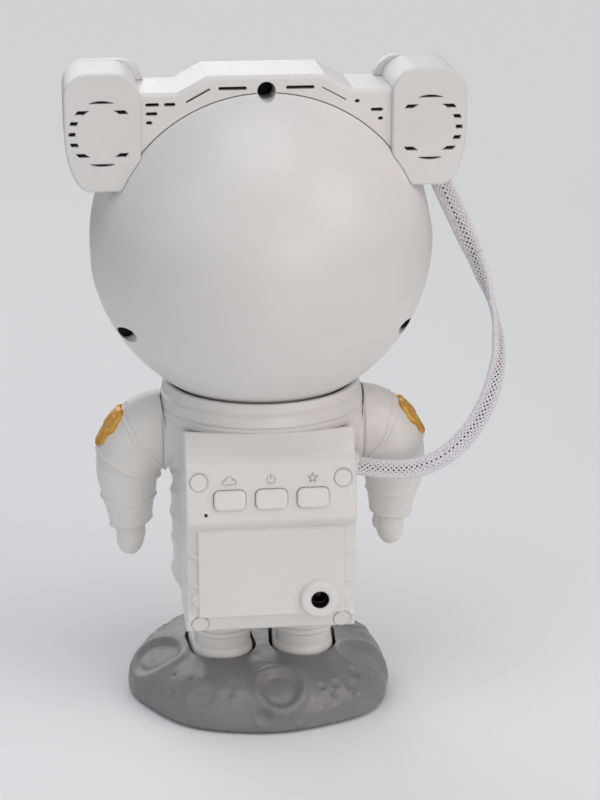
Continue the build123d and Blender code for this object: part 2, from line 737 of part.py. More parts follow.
with BuildPart() as backpack_shell:
    add(pack_side(0))
    sides = backpack_shell.faces().sort_by(Axis.X)
    fillet(sides[0].edges() + sides[-1].edges(), PACK_EDGE)
    folds = backpack_shell.edges().filter_by(Axis.X)
    fillet(folds.filter_by(lambda e: abs(e.center().Z - PACK_FOLD[1]) < 1), 2.5)
    add(pack_side(PACK_WALL), mode=Mode.SUBTRACT)
    with BuildSketch(upright(POCKET_Y)):
        with Locations((0, (POCKET_LOW + POCKET_HIGH) / 2)):
            RectangleRounded(2 * POCKET_HALF, POCKET_HIGH - POCKET_LOW, 1.2)
    extrude(amount=POCKET_PROUD + 1)
    with BuildSketch(upright(POCKET_Y - 0.3)):
        for rib_z in RIB_HEIGHTS:
            with Locations((PACK_HALF - 2.9, rib_z), (2.9 - PACK_HALF, rib_z)):
                Rectangle(4.2, RIB_H)
        with Locations((PACK_HALF - 3.6, STUD_Z), (3.6 - PACK_HALF, STUD_Z)):
            Circle(STUD_R)
    extrude(amount=POCKET_PROUD + 0.7)
    with BuildSketch(upright(INLET_Y)):
        with Locations((INLET_X, INLET_Z)):
            Circle(INLET_BOSS_R)
    extrude(amount=INLET_PROUD + 1, taper=-8)
    add(rods(PACK_SCREWS, BOSS_R, PACK_STRIP[0] - 1.5, PACK_SCREW_SEAT - 2.0))
    add(rods(PACK_SCREWS, BOSS_NECK_R, PACK_SCREW_SEAT, PACK_INSIDE))
    with BuildSketch(PANEL.offset(-PACK_WALL + 0.3)):
        with Locations(*STANDOFFS):
            Circle(STANDOFF_R)
    extrude(amount=-(BOARD_FACE - PACK_WALL + 0.3))
    with BuildSketch(PANEL.offset(1)):
        with GridLocations(BUTTON_PITCH, 1, 3, 1):
            RectangleRounded(
                BUTTON_W + 2 * SLIDE, BUTTON_H + 2 * SLIDE, BUTTON_CORNER + SLIDE
            )
    extrude(amount=-PACK_WALL - 2, mode=Mode.SUBTRACT)
    with BuildSketch(PANEL.offset(1)):
        with Locations((-MIC_X, MIC_DOWN)):
            Circle(MIC_HOLE_R)
    extrude(amount=-PACK_WALL - 2, mode=Mode.SUBTRACT)
    add(rods([(INLET_X, INLET_Z)], INLET_HOLE_R, INLET_Y + 1, 30), mode=Mode.SUBTRACT)
    add(rods(PACK_SCREWS, CAP_R + FIT / 2, 40, PACK_SCREW_SEAT), mode=Mode.SUBTRACT)
    add(rods(PACK_SCREWS, SCREW_R + FIT, 40, PACK_INSIDE), mode=Mode.SUBTRACT)
    with BuildSketch(Plane.YZ.offset(-PACK_HALF - 1)):
        with Locations(HOSE_ROUTE[0][1:]):
            Circle(GLAND_R + FIT)
    extrude(amount=PACK_WALL + 1 + FIT, mode=Mode.SUBTRACT)
    add(suit_form(FIT), mode=Mode.SUBTRACT)
    with BuildSketch(Plane.XY.offset(TORSO_TOP - 0.4)):
        Circle(COLLAR_R + 2 * FIT)
    extrude(amount=4, mode=Mode.SUBTRACT)
backpack_shell.part.label = "backpack_shell"
export_step(backpack_shell.part, "parts/backpack_shell.step")

with BuildPart() as pack_solid:
    add(pack_side(0))

with BuildPart() as screw_caps:
    add(rods(PACK_SCREWS, CAP_R, 40, PACK_SCREW_SEAT + SCREW_HEAD_H + 1))
    add(pack_solid.part, mode=Mode.INTERSECT)
    with BuildPart(mode=Mode.PRIVATE) as under_caps:
        add(pack_side(CAP_THICK))
    add(under_caps.part, mode=Mode.SUBTRACT)
screw_caps.part.label = "screw_caps"
export_step(screw_caps.part, "parts/screw_caps.step")

with BuildPart() as backpack_screws:
    add(rods(PACK_SCREWS, SCREW_HEAD_R, PACK_SCREW_SEAT + SCREW_HEAD_H, PACK_SCREW_SEAT))
    add(rods(PACK_SCREWS, SCREW_R, PACK_SCREW_SEAT, PACK_SCREW_TIP))
backpack_screws.part.label = "backpack_screws"
export_step(backpack_screws.part, "parts/backpack_screws.step")

# ---------------------------------------------------------------- buttons and board

for place, name in ((-1, "nebula_button"), (0, "power_button"), (1, "star_button")):
    at = PANEL.from_local_coords((place * BUTTON_PITCH, 0, 0))
    seat = Plane(origin=at, x_dir=PANEL.x_dir, z_dir=PANEL.z_dir)
    with BuildPart() as button:
        with BuildSketch(seat.offset(-PACK_WALL - SLIDE)):
            RectangleRounded(BUTTON_W, BUTTON_H, BUTTON_CORNER)
        extrude(amount=PACK_WALL + SLIDE + BUTTON_PROUD)
        fillet(button.faces().sort_by(Axis(at, PANEL_NORMAL))[-1].edges(), 0.7)
        with BuildSketch(seat.offset(-PACK_WALL - SLIDE)):
            RectangleRounded(BUTTON_W + 1.8, BUTTON_H + 1.8, BUTTON_CORNER)
        extrude(amount=-BUTTON_FLANGE)
        with BuildSketch(seat.offset(-PACK_WALL - SLIDE - BUTTON_FLANGE)):
            Circle(STEM_R)
        extrude(amount=-STEM_LONG)
    button.part.label = name
    export_step(button.part, f"parts/{name}.step")

with BuildPart() as tact_switches:
    with BuildSketch(PANEL.offset(-BOARD_FACE)):
        with GridLocations(BUTTON_PITCH, 1, 3, 1):
            RectangleRounded(SWITCH, SWITCH, 0.4)
    extrude(amount=SWITCH_H)
    with BuildSketch(PANEL.offset(-BOARD_FACE + SWITCH_H)):
        with GridLocations(BUTTON_PITCH, 1, 3, 1):
            Circle(PLUNGER_R)
    extrude(amount=PLUNGER_H)
tact_switches.part.label = "tact_switches"
export_step(tact_switches.part, "parts/tact_switches.step")

with BuildPart() as control_board:
    with BuildSketch(PANEL.offset(-BOARD_FACE)):
        RectangleRounded(BOARD_W, BOARD_H, 1)
        with Locations((-CAP_X, BOSS_UP), (CAP_X, BOSS_UP)):
            Circle(BOSS_R + 1, mode=Mode.SUBTRACT)
    extrude(amount=-BOARD_THICK)
    with BuildSketch(PANEL.offset(-BOARD_FACE - BOARD_THICK)):
        with Locations(*CHIPS):
            Rectangle(CHIP, CHIP)
        with Locations(BUZZER):
            Circle(BUZZER_R)
    extrude(amount=-CHIP_H)
control_board.part.label = "control_board"
export_step(control_board.part, "parts/control_board.step")

with BuildPart() as microphone:
    with BuildSketch(PANEL.offset(-PACK_WALL - SEAT)):
        with Locations((-MIC_X, MIC_DOWN)):
            Circle(2.0)
    extrude(amount=-(BOARD_FACE - PACK_WALL - SEAT))
microphone.part.label = "microphone"
export_step(microphone.part, "parts/microphone.step")

JACK_FACE = PACK_STRIP[0] - PACK_WALL - SEAT

with BuildPart() as dc_jack:
    with BuildSketch(upright(JACK_FACE)):
        with Locations((INLET_X, INLET_Z)):
            RectangleRounded(JACK_W, JACK_H, 0.6)
    extrude(amount=JACK_DEEP)
    with BuildSketch(upright(JACK_FACE)):
        with Locations((INLET_X, INLET_Z)):
            Circle(JACK_BORE_R)
            Circle(JACK_PIN_R, mode=Mode.SUBTRACT)
    extrude(amount=JACK_BORE_DEEP, mode=Mode.SUBTRACT)
dc_jack.part.label = "dc_jack"
export_step(dc_jack.part, "parts/dc_jack.step")

with BuildPart() as chest_pack:
    with BuildSketch(upright(CHEST_FRONT)):
        with Locations((0, CHEST_Z)):
            RectangleRounded(CHEST_W, CHEST_H, 2.5)
    extrude(amount=-16)
    fillet(chest_pack.faces().sort_by(Axis.Y)[0].edges(), 1.5)
    with BuildSketch(upright(CHEST_FRONT + 0.5)):
        with Locations((-7.5, CHEST_Z)):
            Circle(DIAL_R)
        with Locations((6.5, CHEST_Z + 4.2), (6.5, CHEST_Z - 0.2)):
            RectangleRounded(10.5, 2.4, 1.0)
        with Locations((3.0, CHEST_Z - 5.2), (10.0, CHEST_Z - 5.2)):
            Circle(1.6)
    extrude(amount=1.6)
    add(suit_form(FIT), mode=Mode.SUBTRACT)
chest_pack.part.label = "chest_pack"
export_step(chest_pack.part, "parts/chest_pack.step")

# ---------------------------------------------------------------- helmet


def dome_side(shift):
    """Everything behind the parting line, moved back by shift."""
    with BuildPart() as region:
        with BuildSketch(Plane.YZ):
            with BuildLine():
                Polyline(
                    *[(y + shift, z) for y, z in PARTING],
                    (70, PARTING[-1][1]),
                    (70, PARTING[0][1]),
                    close=True,
                )
            make_face()
        extrude(amount=70, both=True)
    return region.part


def crown_block(low):
    """Everything above a height over the crown."""
    with BuildPart() as block:
        with BuildSketch(Plane.XY.offset(low)):
            Rectangle(80, 80)
        extrude(amount=20)
    return block.part


def visor_prism(grow):
    """Prism of the visor's outline through the front of the ball."""
    with BuildPart() as prism:
        with BuildSketch(upright(-20)):
            with Locations((0, VISOR_Z)):
                Ellipse(VISOR_W + grow, VISOR_H + grow)
        extrude(amount=50)
    return prism.part


with BuildPart() as helmet_tubes:
    add(rods(HELMET_SCREWS, HELMET_TUBE_R, 40, HELMET_TUBE_Y))
    add(ball(HEAD_R - 0.3), mode=Mode.INTERSECT)

with BuildPart() as helmet_rear:
    add(ball_shell(HEAD_R, WALL))
    add(dome_side(SEAM / 2), mode=Mode.INTERSECT)
    add(helmet_tubes.part)
    add(crown_block(CROWN_FLAT), mode=Mode.SUBTRACT)
    add(rods(HELMET_SCREWS, HELMET_HOLE_R, 60, HELMET_TUBE_Y + WALL), mode=Mode.SUBTRACT)
    add(rods(HELMET_SCREWS, SCREW_R + FIT, 60, 0), mode=Mode.SUBTRACT)
helmet_rear.part.label = "helmet_rear"
export_step(helmet_rear.part, "parts/helmet_rear.step")

with BuildPart() as steel_room:
    add(ball_shell(HEAD_R - WALL - STEP, STEEL_THICK + 2 * SEAT))
    with BuildPart(mode=Mode.PRIVATE) as steel_column:
        with BuildSketch(Plane.XY.offset(HEAD_Z - HEAD_R)):
            Circle(STEEL_R + 2 * FIT)
        extrude(amount=30)
    add(steel_column.part, mode=Mode.INTERSECT)

with BuildPart() as helmet_posts:
    add(
        rods(
            HELMET_SCREWS,
            HELMET_TUBE_R - 0.6,
            HELMET_TUBE_Y - SEAM,
            HELMET_TUBE_Y - HELMET_POST_LONG,
        )
    )
    add(rods(OPTICS_SCREWS, OPTICS_BOSS_R, -FRAME_THICK - SEAT, -45))
    with BuildSketch(upright(-FRAME_THICK - SEAT)):
        with Locations((0, HEAD_Z)):
            Circle(HEAD_R)
            Circle(LEDGE_IN, mode=Mode.SUBTRACT)
    extrude(amount=LEDGE)
    add(ball(HEAD_R - WALL - FIT), mode=Mode.INTERSECT)
    add(steel_room.part, mode=Mode.SUBTRACT)

with BuildPart() as helmet_front:
    add(ball_shell(HEAD_R - STEP, WALL))
    add(dome_side(-SEAM / 2), mode=Mode.SUBTRACT)
    add(rods(HELMET_SCREWS, HELMET_TUBE_R + FIT, 40, HELMET_TUBE_Y), mode=Mode.SUBTRACT)
    add(helmet_posts.part)
    add(crown_block(CROWN_FLAT), mode=Mode.SUBTRACT)
    add(visor_prism(BEZEL + FIT), mode=Mode.SUBTRACT)
    add(rods(HELMET_SCREWS, PILOT_R, 30, -9), mode=Mode.SUBTRACT)
    add(rods(OPTICS_SCREWS, PILOT_R, 0, -12), mode=Mode.SUBTRACT)
helmet_front.part.label = "helmet_front"
export_step(helmet_front.part, "parts/helmet_front.step")

with BuildPart() as helmet_screws:
    add(
        rods(
            HELMET_SCREWS,
            SCREW_HEAD_R,
            HELMET_TUBE_Y + WALL + SCREW_HEAD_H,
            HELMET_TUBE_Y + WALL,
        )
    )
    add(rods(HELMET_SCREWS, SCREW_R, HELMET_TUBE_Y + WALL, -8))
helmet_screws.part.label = "helmet_screws"
export_step(helmet_screws.part, "parts/helmet_screws.step")

with BuildPart() as visor_bezel:
    add(ball_shell(HEAD_R + BEZEL_PROUD, WALL + BEZEL_PROUD + 1))
    add(visor_prism(BEZEL), mode=Mode.INTERSECT)
    add(visor_prism(0), mode=Mode.SUBTRACT)
visor_bezel.part.label = "visor_bezel"
export_step(visor_bezel.part, "parts/visor_bezel.step")

LASER_WINDOW_R = LASER_R

with BuildPart() as visor:
    add(ball_shell(HEAD_R - STEP, VISOR_THICK))
    add(visor_prism(-FIT), mode=Mode.INTERSECT)
    add(rods([(0, LAMP_Z)], BARREL_R + FIT, -20, -70), mode=Mode.SUBTRACT)
    add(rods([(LASER_X, LASER_Z)], LASER_WINDOW_R + FIT, -20, -70), mode=Mode.SUBTRACT)
visor.part.label = "visor"
export_step(visor.part, "parts/visor.step")

with BuildPart() as laser_window:
    add(ball_shell(HEAD_R - STEP - 0.3, VISOR_THICK - 0.6))
    add(rods([(LASER_X, LASER_Z)], LASER_WINDOW_R, -20, -70), mode=Mode.INTERSECT)
laser_window.part.label = "laser_window"
export_step(laser_window.part, "parts/laser_window.step")

with BuildPart() as head_steel_plate:
    add(ball_shell(HEAD_R - WALL - STEP - SEAT, STEEL_THICK))
    with BuildPart(mode=Mode.PRIVATE) as under_ball:
        with BuildSketch(Plane.XY.offset(HEAD_Z - HEAD_R)):
            Circle(STEEL_R)
        extrude(amount=30)
    add(under_ball.part, mode=Mode.INTERSECT)
head_steel_plate.part.label = "head_steel_plate"
export_step(head_steel_plate.part, "parts/head_steel_plate.step")

# ---------------------------------------------------------------- headband

BAND_LINE = (
    (BAND_HALF, BAND_SIDE),
    (BAND_BREAK_OUT, BAND_SIDE),
    (BAND_BREAK_IN, BAND_CROWN),
    (-BAND_BREAK_IN, BAND_CROWN),
    (-BAND_BREAK_OUT, BAND_SIDE),
    (-BAND_HALF, BAND_SIDE),
)
BAND_SLOTS = (                 # height, then the x ends of each level slot
    (221.5, (6.3, 15.5), (-15.5, -6.3)),
    (216.7, (34.5, 38.9), (29.3, 32.9), (-30.2, -28.6)),
    (213.8, (35.1, 38.8), (-37.8, -33.8)),
    (210.9, (36.8, 38.8), (-37.8, -36.2)),
)
SLANT_SLOTS = ((1, 0.8), (-1, 0.45))     # side, thickness
SLANT_LOW = (25.6, 217.1)
SLANT_HIGH = (18.0, 221.2)


def band_slots():
    """Sketch of the slots in the band's rear face; the two sides differ a little."""
    with BuildSketch() as slots:
        for height, *places in BAND_SLOTS:
            for x_a, x_b in places:
                with Locations(((x_a + x_b) / 2, height)):
                    RectangleRounded(abs(x_b - x_a), SLOT, SLOT / 2 - 0.02)
        for side, thick in SLANT_SLOTS:
            with BuildLine():
                Polyline(
                    (side * SLANT_LOW[0], SLANT_LOW[1]),
                    (side * SLANT_HIGH[0], SLANT_HIGH[1]),
                    (side * (SLANT_HIGH[0] + thick * 0.5), SLANT_HIGH[1] + thick * 0.6),
                    (side * (SLANT_LOW[0] + thick * 0.5), SLANT_LOW[1] + thick * 0.6),
                    close=True,
                )
            make_face()
    return slots.sketch


with BuildPart() as head_clear:
    add(ball(HEAD_R + FIT))
    add(crown_block(CROWN_FLAT + FIT), mode=Mode.SUBTRACT)

with BuildPart() as headband:
    with BuildSketch(upright(BAND_BACK)):
        with BuildLine():
            Polyline(*BAND_LINE, (-BAND_HALF, 195), (BAND_HALF, 195), close=True)
        make_face()
    extrude(amount=BAND_BACK - BAND_FRONT)
    band_top = headband.edges().filter_by(lambda e: e.center().Z > BAND_SIDE - 0.5)
    fillet(band_top.group_by(Axis.Y)[-1] + band_top.group_by(Axis.Y)[0], BAND_EDGE)
    with BuildSketch(upright(BAND_BACK - WALL)):
        with BuildLine():
            Polyline(*BAND_LINE, (-BAND_HALF, 195), (BAND_HALF, 195), close=True)
        make_face()
        offset(amount=-WALL, kind=Kind.INTERSECTION)
    extrude(amount=BAND_BACK - BAND_FRONT - 2 * WALL, mode=Mode.SUBTRACT)
    add(head_clear.part, mode=Mode.SUBTRACT)
    with BuildSketch(upright(BAND_BACK + 1)):
        add(band_slots())
    extrude(amount=WALL + 2, mode=Mode.SUBTRACT)
    add(rods(HELMET_SCREWS, HELMET_HOLE_R, 60, HELMET_TUBE_Y), mode=Mode.SUBTRACT)
    add(rods(HELMET_SCREWS[:1], HELMET_TUBE_R + FIT, 21.5, HELMET_TUBE_Y), mode=Mode.SUBTRACT)
headband.part.label = "headband"
export_step(headband.part, "parts/headband.step")

with BuildPart() as band_liner:
    with BuildSketch(upright(BAND_BACK - WALL - SEAT)):
        with BuildLine():
            Polyline(*BAND_LINE, (-BAND_HALF, 195), (BAND_HALF, 195), close=True)
        make_face()
        offset(amount=-WALL - FIT, kind=Kind.INTERSECTION)
    extrude(amount=LINER)
    add(ball(HEAD_R + 2 * FIT), mode=Mode.SUBTRACT)
    add(rods(HELMET_SCREWS[:1], HELMET_TUBE_R + 2 * FIT, 60, 0), mode=Mode.SUBTRACT)
band_liner.part.label = "band_liner"
export_step(band_liner.part, "parts/band_liner.step")

# ---------------------------------------------------------------- ear boxes


def ear_outline(side, grow, inwards=0.0):
    """Ear box outline as a sketch: round corners above, one long corner below outside."""
    x_in = EAR_IN - grow - inwards
    x_out = EAR_OUT + grow
    low = EAR_LOW - grow
    high = EAR_HIGH + grow
    corner = EAR_CORNER + grow
    wide = EAR_LOW_CORNER[0] + grow
    tall = EAR_LOW_CORNER[1] + grow
    step = corner * (1 - sin(pi / 4))
    with BuildSketch() as outline:
        with BuildLine():
            Line((x_in + corner, high), (x_out - corner, high))
            ThreePointArc(
                (x_out - corner, high), (x_out - step, high - step), (x_out, high - corner)
            )
            Line((x_out, high - corner), (x_out, low + tall))
            EllipticalCenterArc((x_out - wide, low + tall), wide, tall, -90, arc_size=90)
            Polyline((x_out - wide, low), (x_in + 2, low), (x_in, low + 2))
            Line((x_in, low + 2), (x_in, high - corner))
            ThreePointArc(
                (x_in, high - corner), (x_in + step, high - step), (x_in + corner, high)
            )
        make_face()
        if side < 0:
            mirror(about=Plane.YZ, mode=Mode.REPLACE)
    return outline.sketch


def ring_slots(side):
    """Sketch of the striped ring: seven rows of one ring, the middle three outside only."""
    with BuildSketch() as stripes:
        with Locations((side * RING_X, RING_Z)):
            with GridLocations(1, 3 * RING_ROW, 1, 3):
                Rectangle(3 * RING_OUT, RING_SLOT)
            with GridLocations(1, 4 * RING_ROW, 1, 2):
                Rectangle(3 * RING_OUT, RING_SLOT)
            with GridLocations(1, 2 * RING_ROW, 1, 2):
                Rectangle(3 * RING_OUT, RING_SLOT)
        with Locations((side * (RING_X - RING_OUT), RING_Z)):
            Rectangle(2 * RING_OUT, 3 * RING_ROW, mode=Mode.SUBTRACT)
    with BuildSketch() as ring:
        with Locations((side * RING_X, RING_Z)):
            Circle(RING_OUT)
            Circle(RING_IN, mode=Mode.SUBTRACT)
        add(stripes.sketch, mode=Mode.INTERSECT)
    return ring.sketch


HOSE_ENTRY = HOSE_ROUTE[-1]
HOSE_LAST = Vector(*HOSE_ROUTE[-1]) - Vector(*HOSE_ROUTE[-2])
ENTRY_PLANE = Plane(origin=HOSE_ENTRY, z_dir=HOSE_LAST)

for side, name in ((1, "left"), (-1, "right")):
    with BuildPart() as ear_box:
        with BuildSketch(upright(EAR_BACK)):
            add(ear_outline(side, 0))
        extrude(amount=EAR_BACK - EAR_SPLIT)
        fillet(ear_box.faces().sort_by(Axis.Y)[-1].edges(), EAR_EDGE)
        with BuildPart(mode=Mode.PRIVATE) as ear_inside:
            with BuildSketch(upright(EAR_BACK - EAR_WALL)):
                add(ear_outline(side, -EAR_WALL))
            extrude(amount=EAR_BACK - EAR_SPLIT)
            add(ball(HEAD_R + FIT + EAR_WALL), mode=Mode.SUBTRACT)
        add(ear_inside.part, mode=Mode.SUBTRACT)
        add(ball(HEAD_R + FIT), mode=Mode.SUBTRACT)
        with BuildSketch(upright(EAR_BACK + 1)):
            add(ring_slots(side))
        extrude(amount=EAR_WALL + 2, mode=Mode.SUBTRACT)
        with BuildPart(mode=Mode.PRIVATE) as band_end:
            with BuildSketch(Plane.YZ.offset(side * (BAND_HALF - 4))):
                with Locations(((BAND_BACK + BAND_FRONT) / 2, 200)):
                    Rectangle(
                        BAND_BACK - BAND_FRONT + 2 * FIT, 2 * (BAND_SIDE - 200 + FIT)
                    )
            extrude(amount=side * (4 + FIT))
        add(band_end.part, mode=Mode.SUBTRACT)
        if side < 0:
            with BuildSketch(ENTRY_PLANE.offset(-14)):
                Circle(GLAND_UPPER_R + FIT)
            extrude(amount=14 + GLAND_UPPER_LONG, mode=Mode.SUBTRACT)
    ear_box.part.label = f"{name}_ear_box"
    export_step(ear_box.part, f"parts/{name}_ear_box.step")

    with BuildPart() as ear_cap:
        with BuildSketch(upright(EAR_SPLIT - SEAM)):
            add(ear_outline(side, 0, EAR_CAP_GROW))
        extrude(amount=EAR_SPLIT - SEAM - EAR_FRONT)
        fillet(ear_cap.faces().sort_by(Axis.Y)[0].edges(), 2.4)
        with BuildSketch(upright(EAR_FRONT)):
            with Locations((side * (RING_X - 1), RING_Z)):
                Circle(8.5)
                Circle(7.0, mode=Mode.SUBTRACT)
        extrude(amount=-0.7, mode=Mode.SUBTRACT)
        with BuildPart(mode=Mode.PRIVATE) as cap_inside:
            with BuildSketch(upright(EAR_SPLIT)):
                add(ear_outline(side, -EAR_WALL))
            extrude(amount=EAR_SPLIT - EAR_FRONT - EAR_WALL)
            add(ball(HEAD_R + FIT + EAR_WALL), mode=Mode.SUBTRACT)
        add(cap_inside.part, mode=Mode.SUBTRACT)
        add(ball(HEAD_R + FIT), mode=Mode.SUBTRACT)
        with BuildPart(mode=Mode.PRIVATE) as band_room:
            with BuildSketch(Plane.YZ.offset(side * (BAND_HALF - 8))):
                with Locations(((BAND_BACK + BAND_FRONT) / 2, 200)):
                    Rectangle(
                        BAND_BACK - BAND_FRONT + 2 * FIT, 2 * (BAND_SIDE - 200 + FIT)
                    )
            extrude(amount=side * (8 + FIT))
        add(band_room.part, mode=Mode.SUBTRACT)
    ear_cap.part.label = f"{name}_ear_cap"
    export_step(ear_cap.part, f"parts/{name}_ear_cap.step")

with BuildPart() as ear_liners:
    with BuildSketch(upright(EAR_BACK - EAR_WALL - SEAT)):
        with Locations((RING_X, RING_Z), (-RING_X, RING_Z)):
            Circle(RING_OUT - 0.6)
            Circle(RING_IN - 2, mode=Mode.SUBTRACT)
    extrude(amount=LINER)
ear_liners.part.label = "ear_liners"
export_step(ear_liners.part, "parts/ear_liners.step")

# ---------------------------------------------------------------- optics

WHEEL_FRONT = WHEEL_Y - WHEEL_THICK
BRIDGE_FRONT = BRIDGE_Y - BRIDGE_THICK
LAMP = (0, LAMP_Z)
LASER = (LASER_X, LASER_Z)
SHAFT = (0, SHAFT_Z)
BRIDGE_FEET = [(x, SHAFT_Z + up) for x, up in ((-29, -6), (29, -6), (-21, 22), (21, 22))]
CONDENSER_BACK = -FRAME_THICK - EMITTER_H
BOARD_POSTS = ((-16.0, HEAD_BOARD_Z), (16.0, HEAD_BOARD_Z))

with BuildPart() as optics_frame:
    with BuildSketch(upright(0)):
        with Locations((0, HEAD_Z)):
            Circle(FRAME_R)
        with Locations(*HELMET_SCREWS):
            Circle(HELMET_TUBE_R + 0.8, mode=Mode.SUBTRACT)
        with Locations((-34, HEAD_Z + 14), (34, HEAD_Z + 14)):
            Circle(8, mode=Mode.SUBTRACT)
    extrude(amount=FRAME_THICK)
    with BuildSketch(upright(-FRAME_THICK)):
        with Locations(LAMP):
            Circle(CONDENSER_R + FIT + 1.8)
    extrude(amount=CONDENSER_THICK)
    add(rods(BOARD_POSTS, 2.4, HEAD_BOARD_Y - SEAT, -1))
    add(rods([LAMP], CONDENSER_R + FIT, 1, -20), mode=Mode.SUBTRACT)
    add(rods([LASER], LASER_R + FIT, 1, -20), mode=Mode.SUBTRACT)
    add(rods([SHAFT], 3, 1, -20), mode=Mode.SUBTRACT)
    add(rods(OPTICS_SCREWS, SCREW_R + FIT, 1, -20), mode=Mode.SUBTRACT)
optics_frame.part.label = "optics_frame"
export_step(optics_frame.part, "parts/optics_frame.step")

with BuildPart() as optics_screws:
    add(rods(OPTICS_SCREWS, SCREW_HEAD_R, SCREW_HEAD_H, 0))
    add(rods(OPTICS_SCREWS, SCREW_R, 0, -11))
optics_screws.part.label = "optics_screws"
export_step(optics_screws.part, "parts/optics_screws.step")

with BuildPart() as led_board:
    with BuildSketch(upright(LED_THICK + SEAT)):
        with Locations(LAMP):
            RectangleRounded(LED_W, LED_W, 1)
    extrude(amount=LED_THICK)
    with BuildSketch(upright(SEAT)):
        with Locations(LAMP):
            Circle(EMITTER_R)
    extrude(amount=EMITTER_H)
led_board.part.label = "led_board"
export_step(led_board.part, "parts/led_board.step")

SINK_Y = LED_THICK + 2 * SEAT

with BuildPart() as heat_sink:
    with BuildSketch(upright(SINK_Y + 3)):
        with Locations(LAMP):
            Rectangle(LED_W, LED_W)
    extrude(amount=3)
    with BuildSketch(upright(SINK_Y + SINK_LONG)):
        with Locations(LAMP):
            with GridLocations((LED_W - 1.4) / (SINK_FINS - 1), 1, SINK_FINS, 1):
                Rectangle(1.4, LED_W)
    extrude(amount=SINK_LONG - 3)
heat_sink.part.label = "heat_sink"
export_step(heat_sink.part, "parts/heat_sink.step")

with BuildPart() as condenser_lens:
    add(rods([LAMP], CONDENSER_R, CONDENSER_BACK, CONDENSER_BACK - CONDENSER_THICK))
    lens_face = condenser_lens.faces().sort_by(Axis.Y)[0]
    fillet(lens_face.edges(), 2.4)
condenser_lens.part.label = "condenser_lens"
export_step(condenser_lens.part, "parts/condenser_lens.step")

with BuildPart() as gear_motor:
    add(rods([SHAFT], MOTOR_R, MOTOR_LONG + SEAT, SEAT))
    add(rods([SHAFT], 2.6, SEAT, -2))
    add(rods([SHAFT], SHAFT_R + RUNNING, MOTOR_LONG - 4, -3), mode=Mode.SUBTRACT)
gear_motor.part.label = "gear_motor"
export_step(gear_motor.part, "parts/gear_motor.step")

with BuildPart() as motor_shaft:
    add(rods([SHAFT], SHAFT_R, MOTOR_LONG - 4.5, WHEEL_FRONT - 1))
motor_shaft.part.label = "motor_shaft"
export_step(motor_shaft.part, "parts/motor_shaft.step")

with BuildPart() as nebula_wheel:
    add(rods([SHAFT], WHEEL_R, WHEEL_Y, WHEEL_FRONT))
    add(rods([SHAFT], HUB_R, WHEEL_Y + HUB_LONG, WHEEL_FRONT))
    add(rods([SHAFT], SHAFT_R + 0.02, WHEEL_Y + 5, WHEEL_FRONT - 5), mode=Mode.SUBTRACT)
nebula_wheel.part.label = "nebula_wheel"
export_step(nebula_wheel.part, "parts/nebula_wheel.step")

with BuildPart() as lens_bridge:
    with BuildSketch(upright(BRIDGE_Y)):
        with Locations(*BRIDGE_FEET, LAMP, LASER):
            Circle(6)
        make_hull()
    extrude(amount=BRIDGE_THICK)
    add(rods(BRIDGE_FEET, 2.6, -FRAME_THICK - SEAT, BRIDGE_Y - 1))
    add(rods([LAMP], BARREL_R, BRIDGE_Y, BARREL_FRONT))
    add(rods([LAMP], BARREL_BORE_R, BRIDGE_Y + 1, BARREL_FRONT - 1), mode=Mode.SUBTRACT)
    add(rods([LASER], LASER_R - 1.5, 0, -40), mode=Mode.SUBTRACT)
    grating_seat = BRIDGE_Y - GRATING_THICK
    add(rods([LASER], LASER_R + FIT, BRIDGE_Y + 1, grating_seat), mode=Mode.SUBTRACT)
lens_bridge.part.label = "lens_bridge"
export_step(lens_bridge.part, "parts/lens_bridge.step")

with BuildPart() as projection_lens:
    add(
        rods(
            [LAMP],
            BARREL_BORE_R - FIT / 2,
            BARREL_FRONT + LENS_THICK + LENS_SUNK,
            BARREL_FRONT + LENS_SUNK,
        )
    )
    fillet(projection_lens.faces().sort_by(Axis.Y)[0].edges(), 3.4)
projection_lens.part.label = "projection_lens"
export_step(projection_lens.part, "parts/projection_lens.step")

with BuildPart() as laser_module:
    add(rods([LASER], LASER_R, LASER_LONG - 6, -6))
    add(rods([LASER], 1.4, -5, -8), mode=Mode.SUBTRACT)
laser_module.part.label = "laser_module"
export_step(laser_module.part, "parts/laser_module.step")

with BuildPart() as star_grating:
    add(rods([LASER], LASER_R, BRIDGE_Y, BRIDGE_Y - GRATING_THICK))
star_grating.part.label = "star_grating"
export_step(star_grating.part, "parts/star_grating.step")

with BuildPart() as head_board:
    with BuildSketch(upright(HEAD_BOARD_Y + BOARD_THICK)):
        with Locations((0, HEAD_BOARD_Z)):
            RectangleRounded(HEAD_BOARD_W, HEAD_BOARD_H, 1)
    extrude(amount=BOARD_THICK)
    with BuildSketch(upright(HEAD_BOARD_Y + BOARD_THICK + CHIP_H)):
        with Locations(*[(x, HEAD_BOARD_Z + up) for x, up in CHIPS]):
            Rectangle(CHIP, CHIP)
    extrude(amount=CHIP_H)
head_board.part.label = "head_board"
export_step(head_board.part, "parts/head_board.step")

# ---------------------------------------------------------------- hose

GLAND_AT = HOSE_ROUTE[0]
GLAND_RUN = Vector(*HOSE_ROUTE[1]) - Vector(*GLAND_AT)

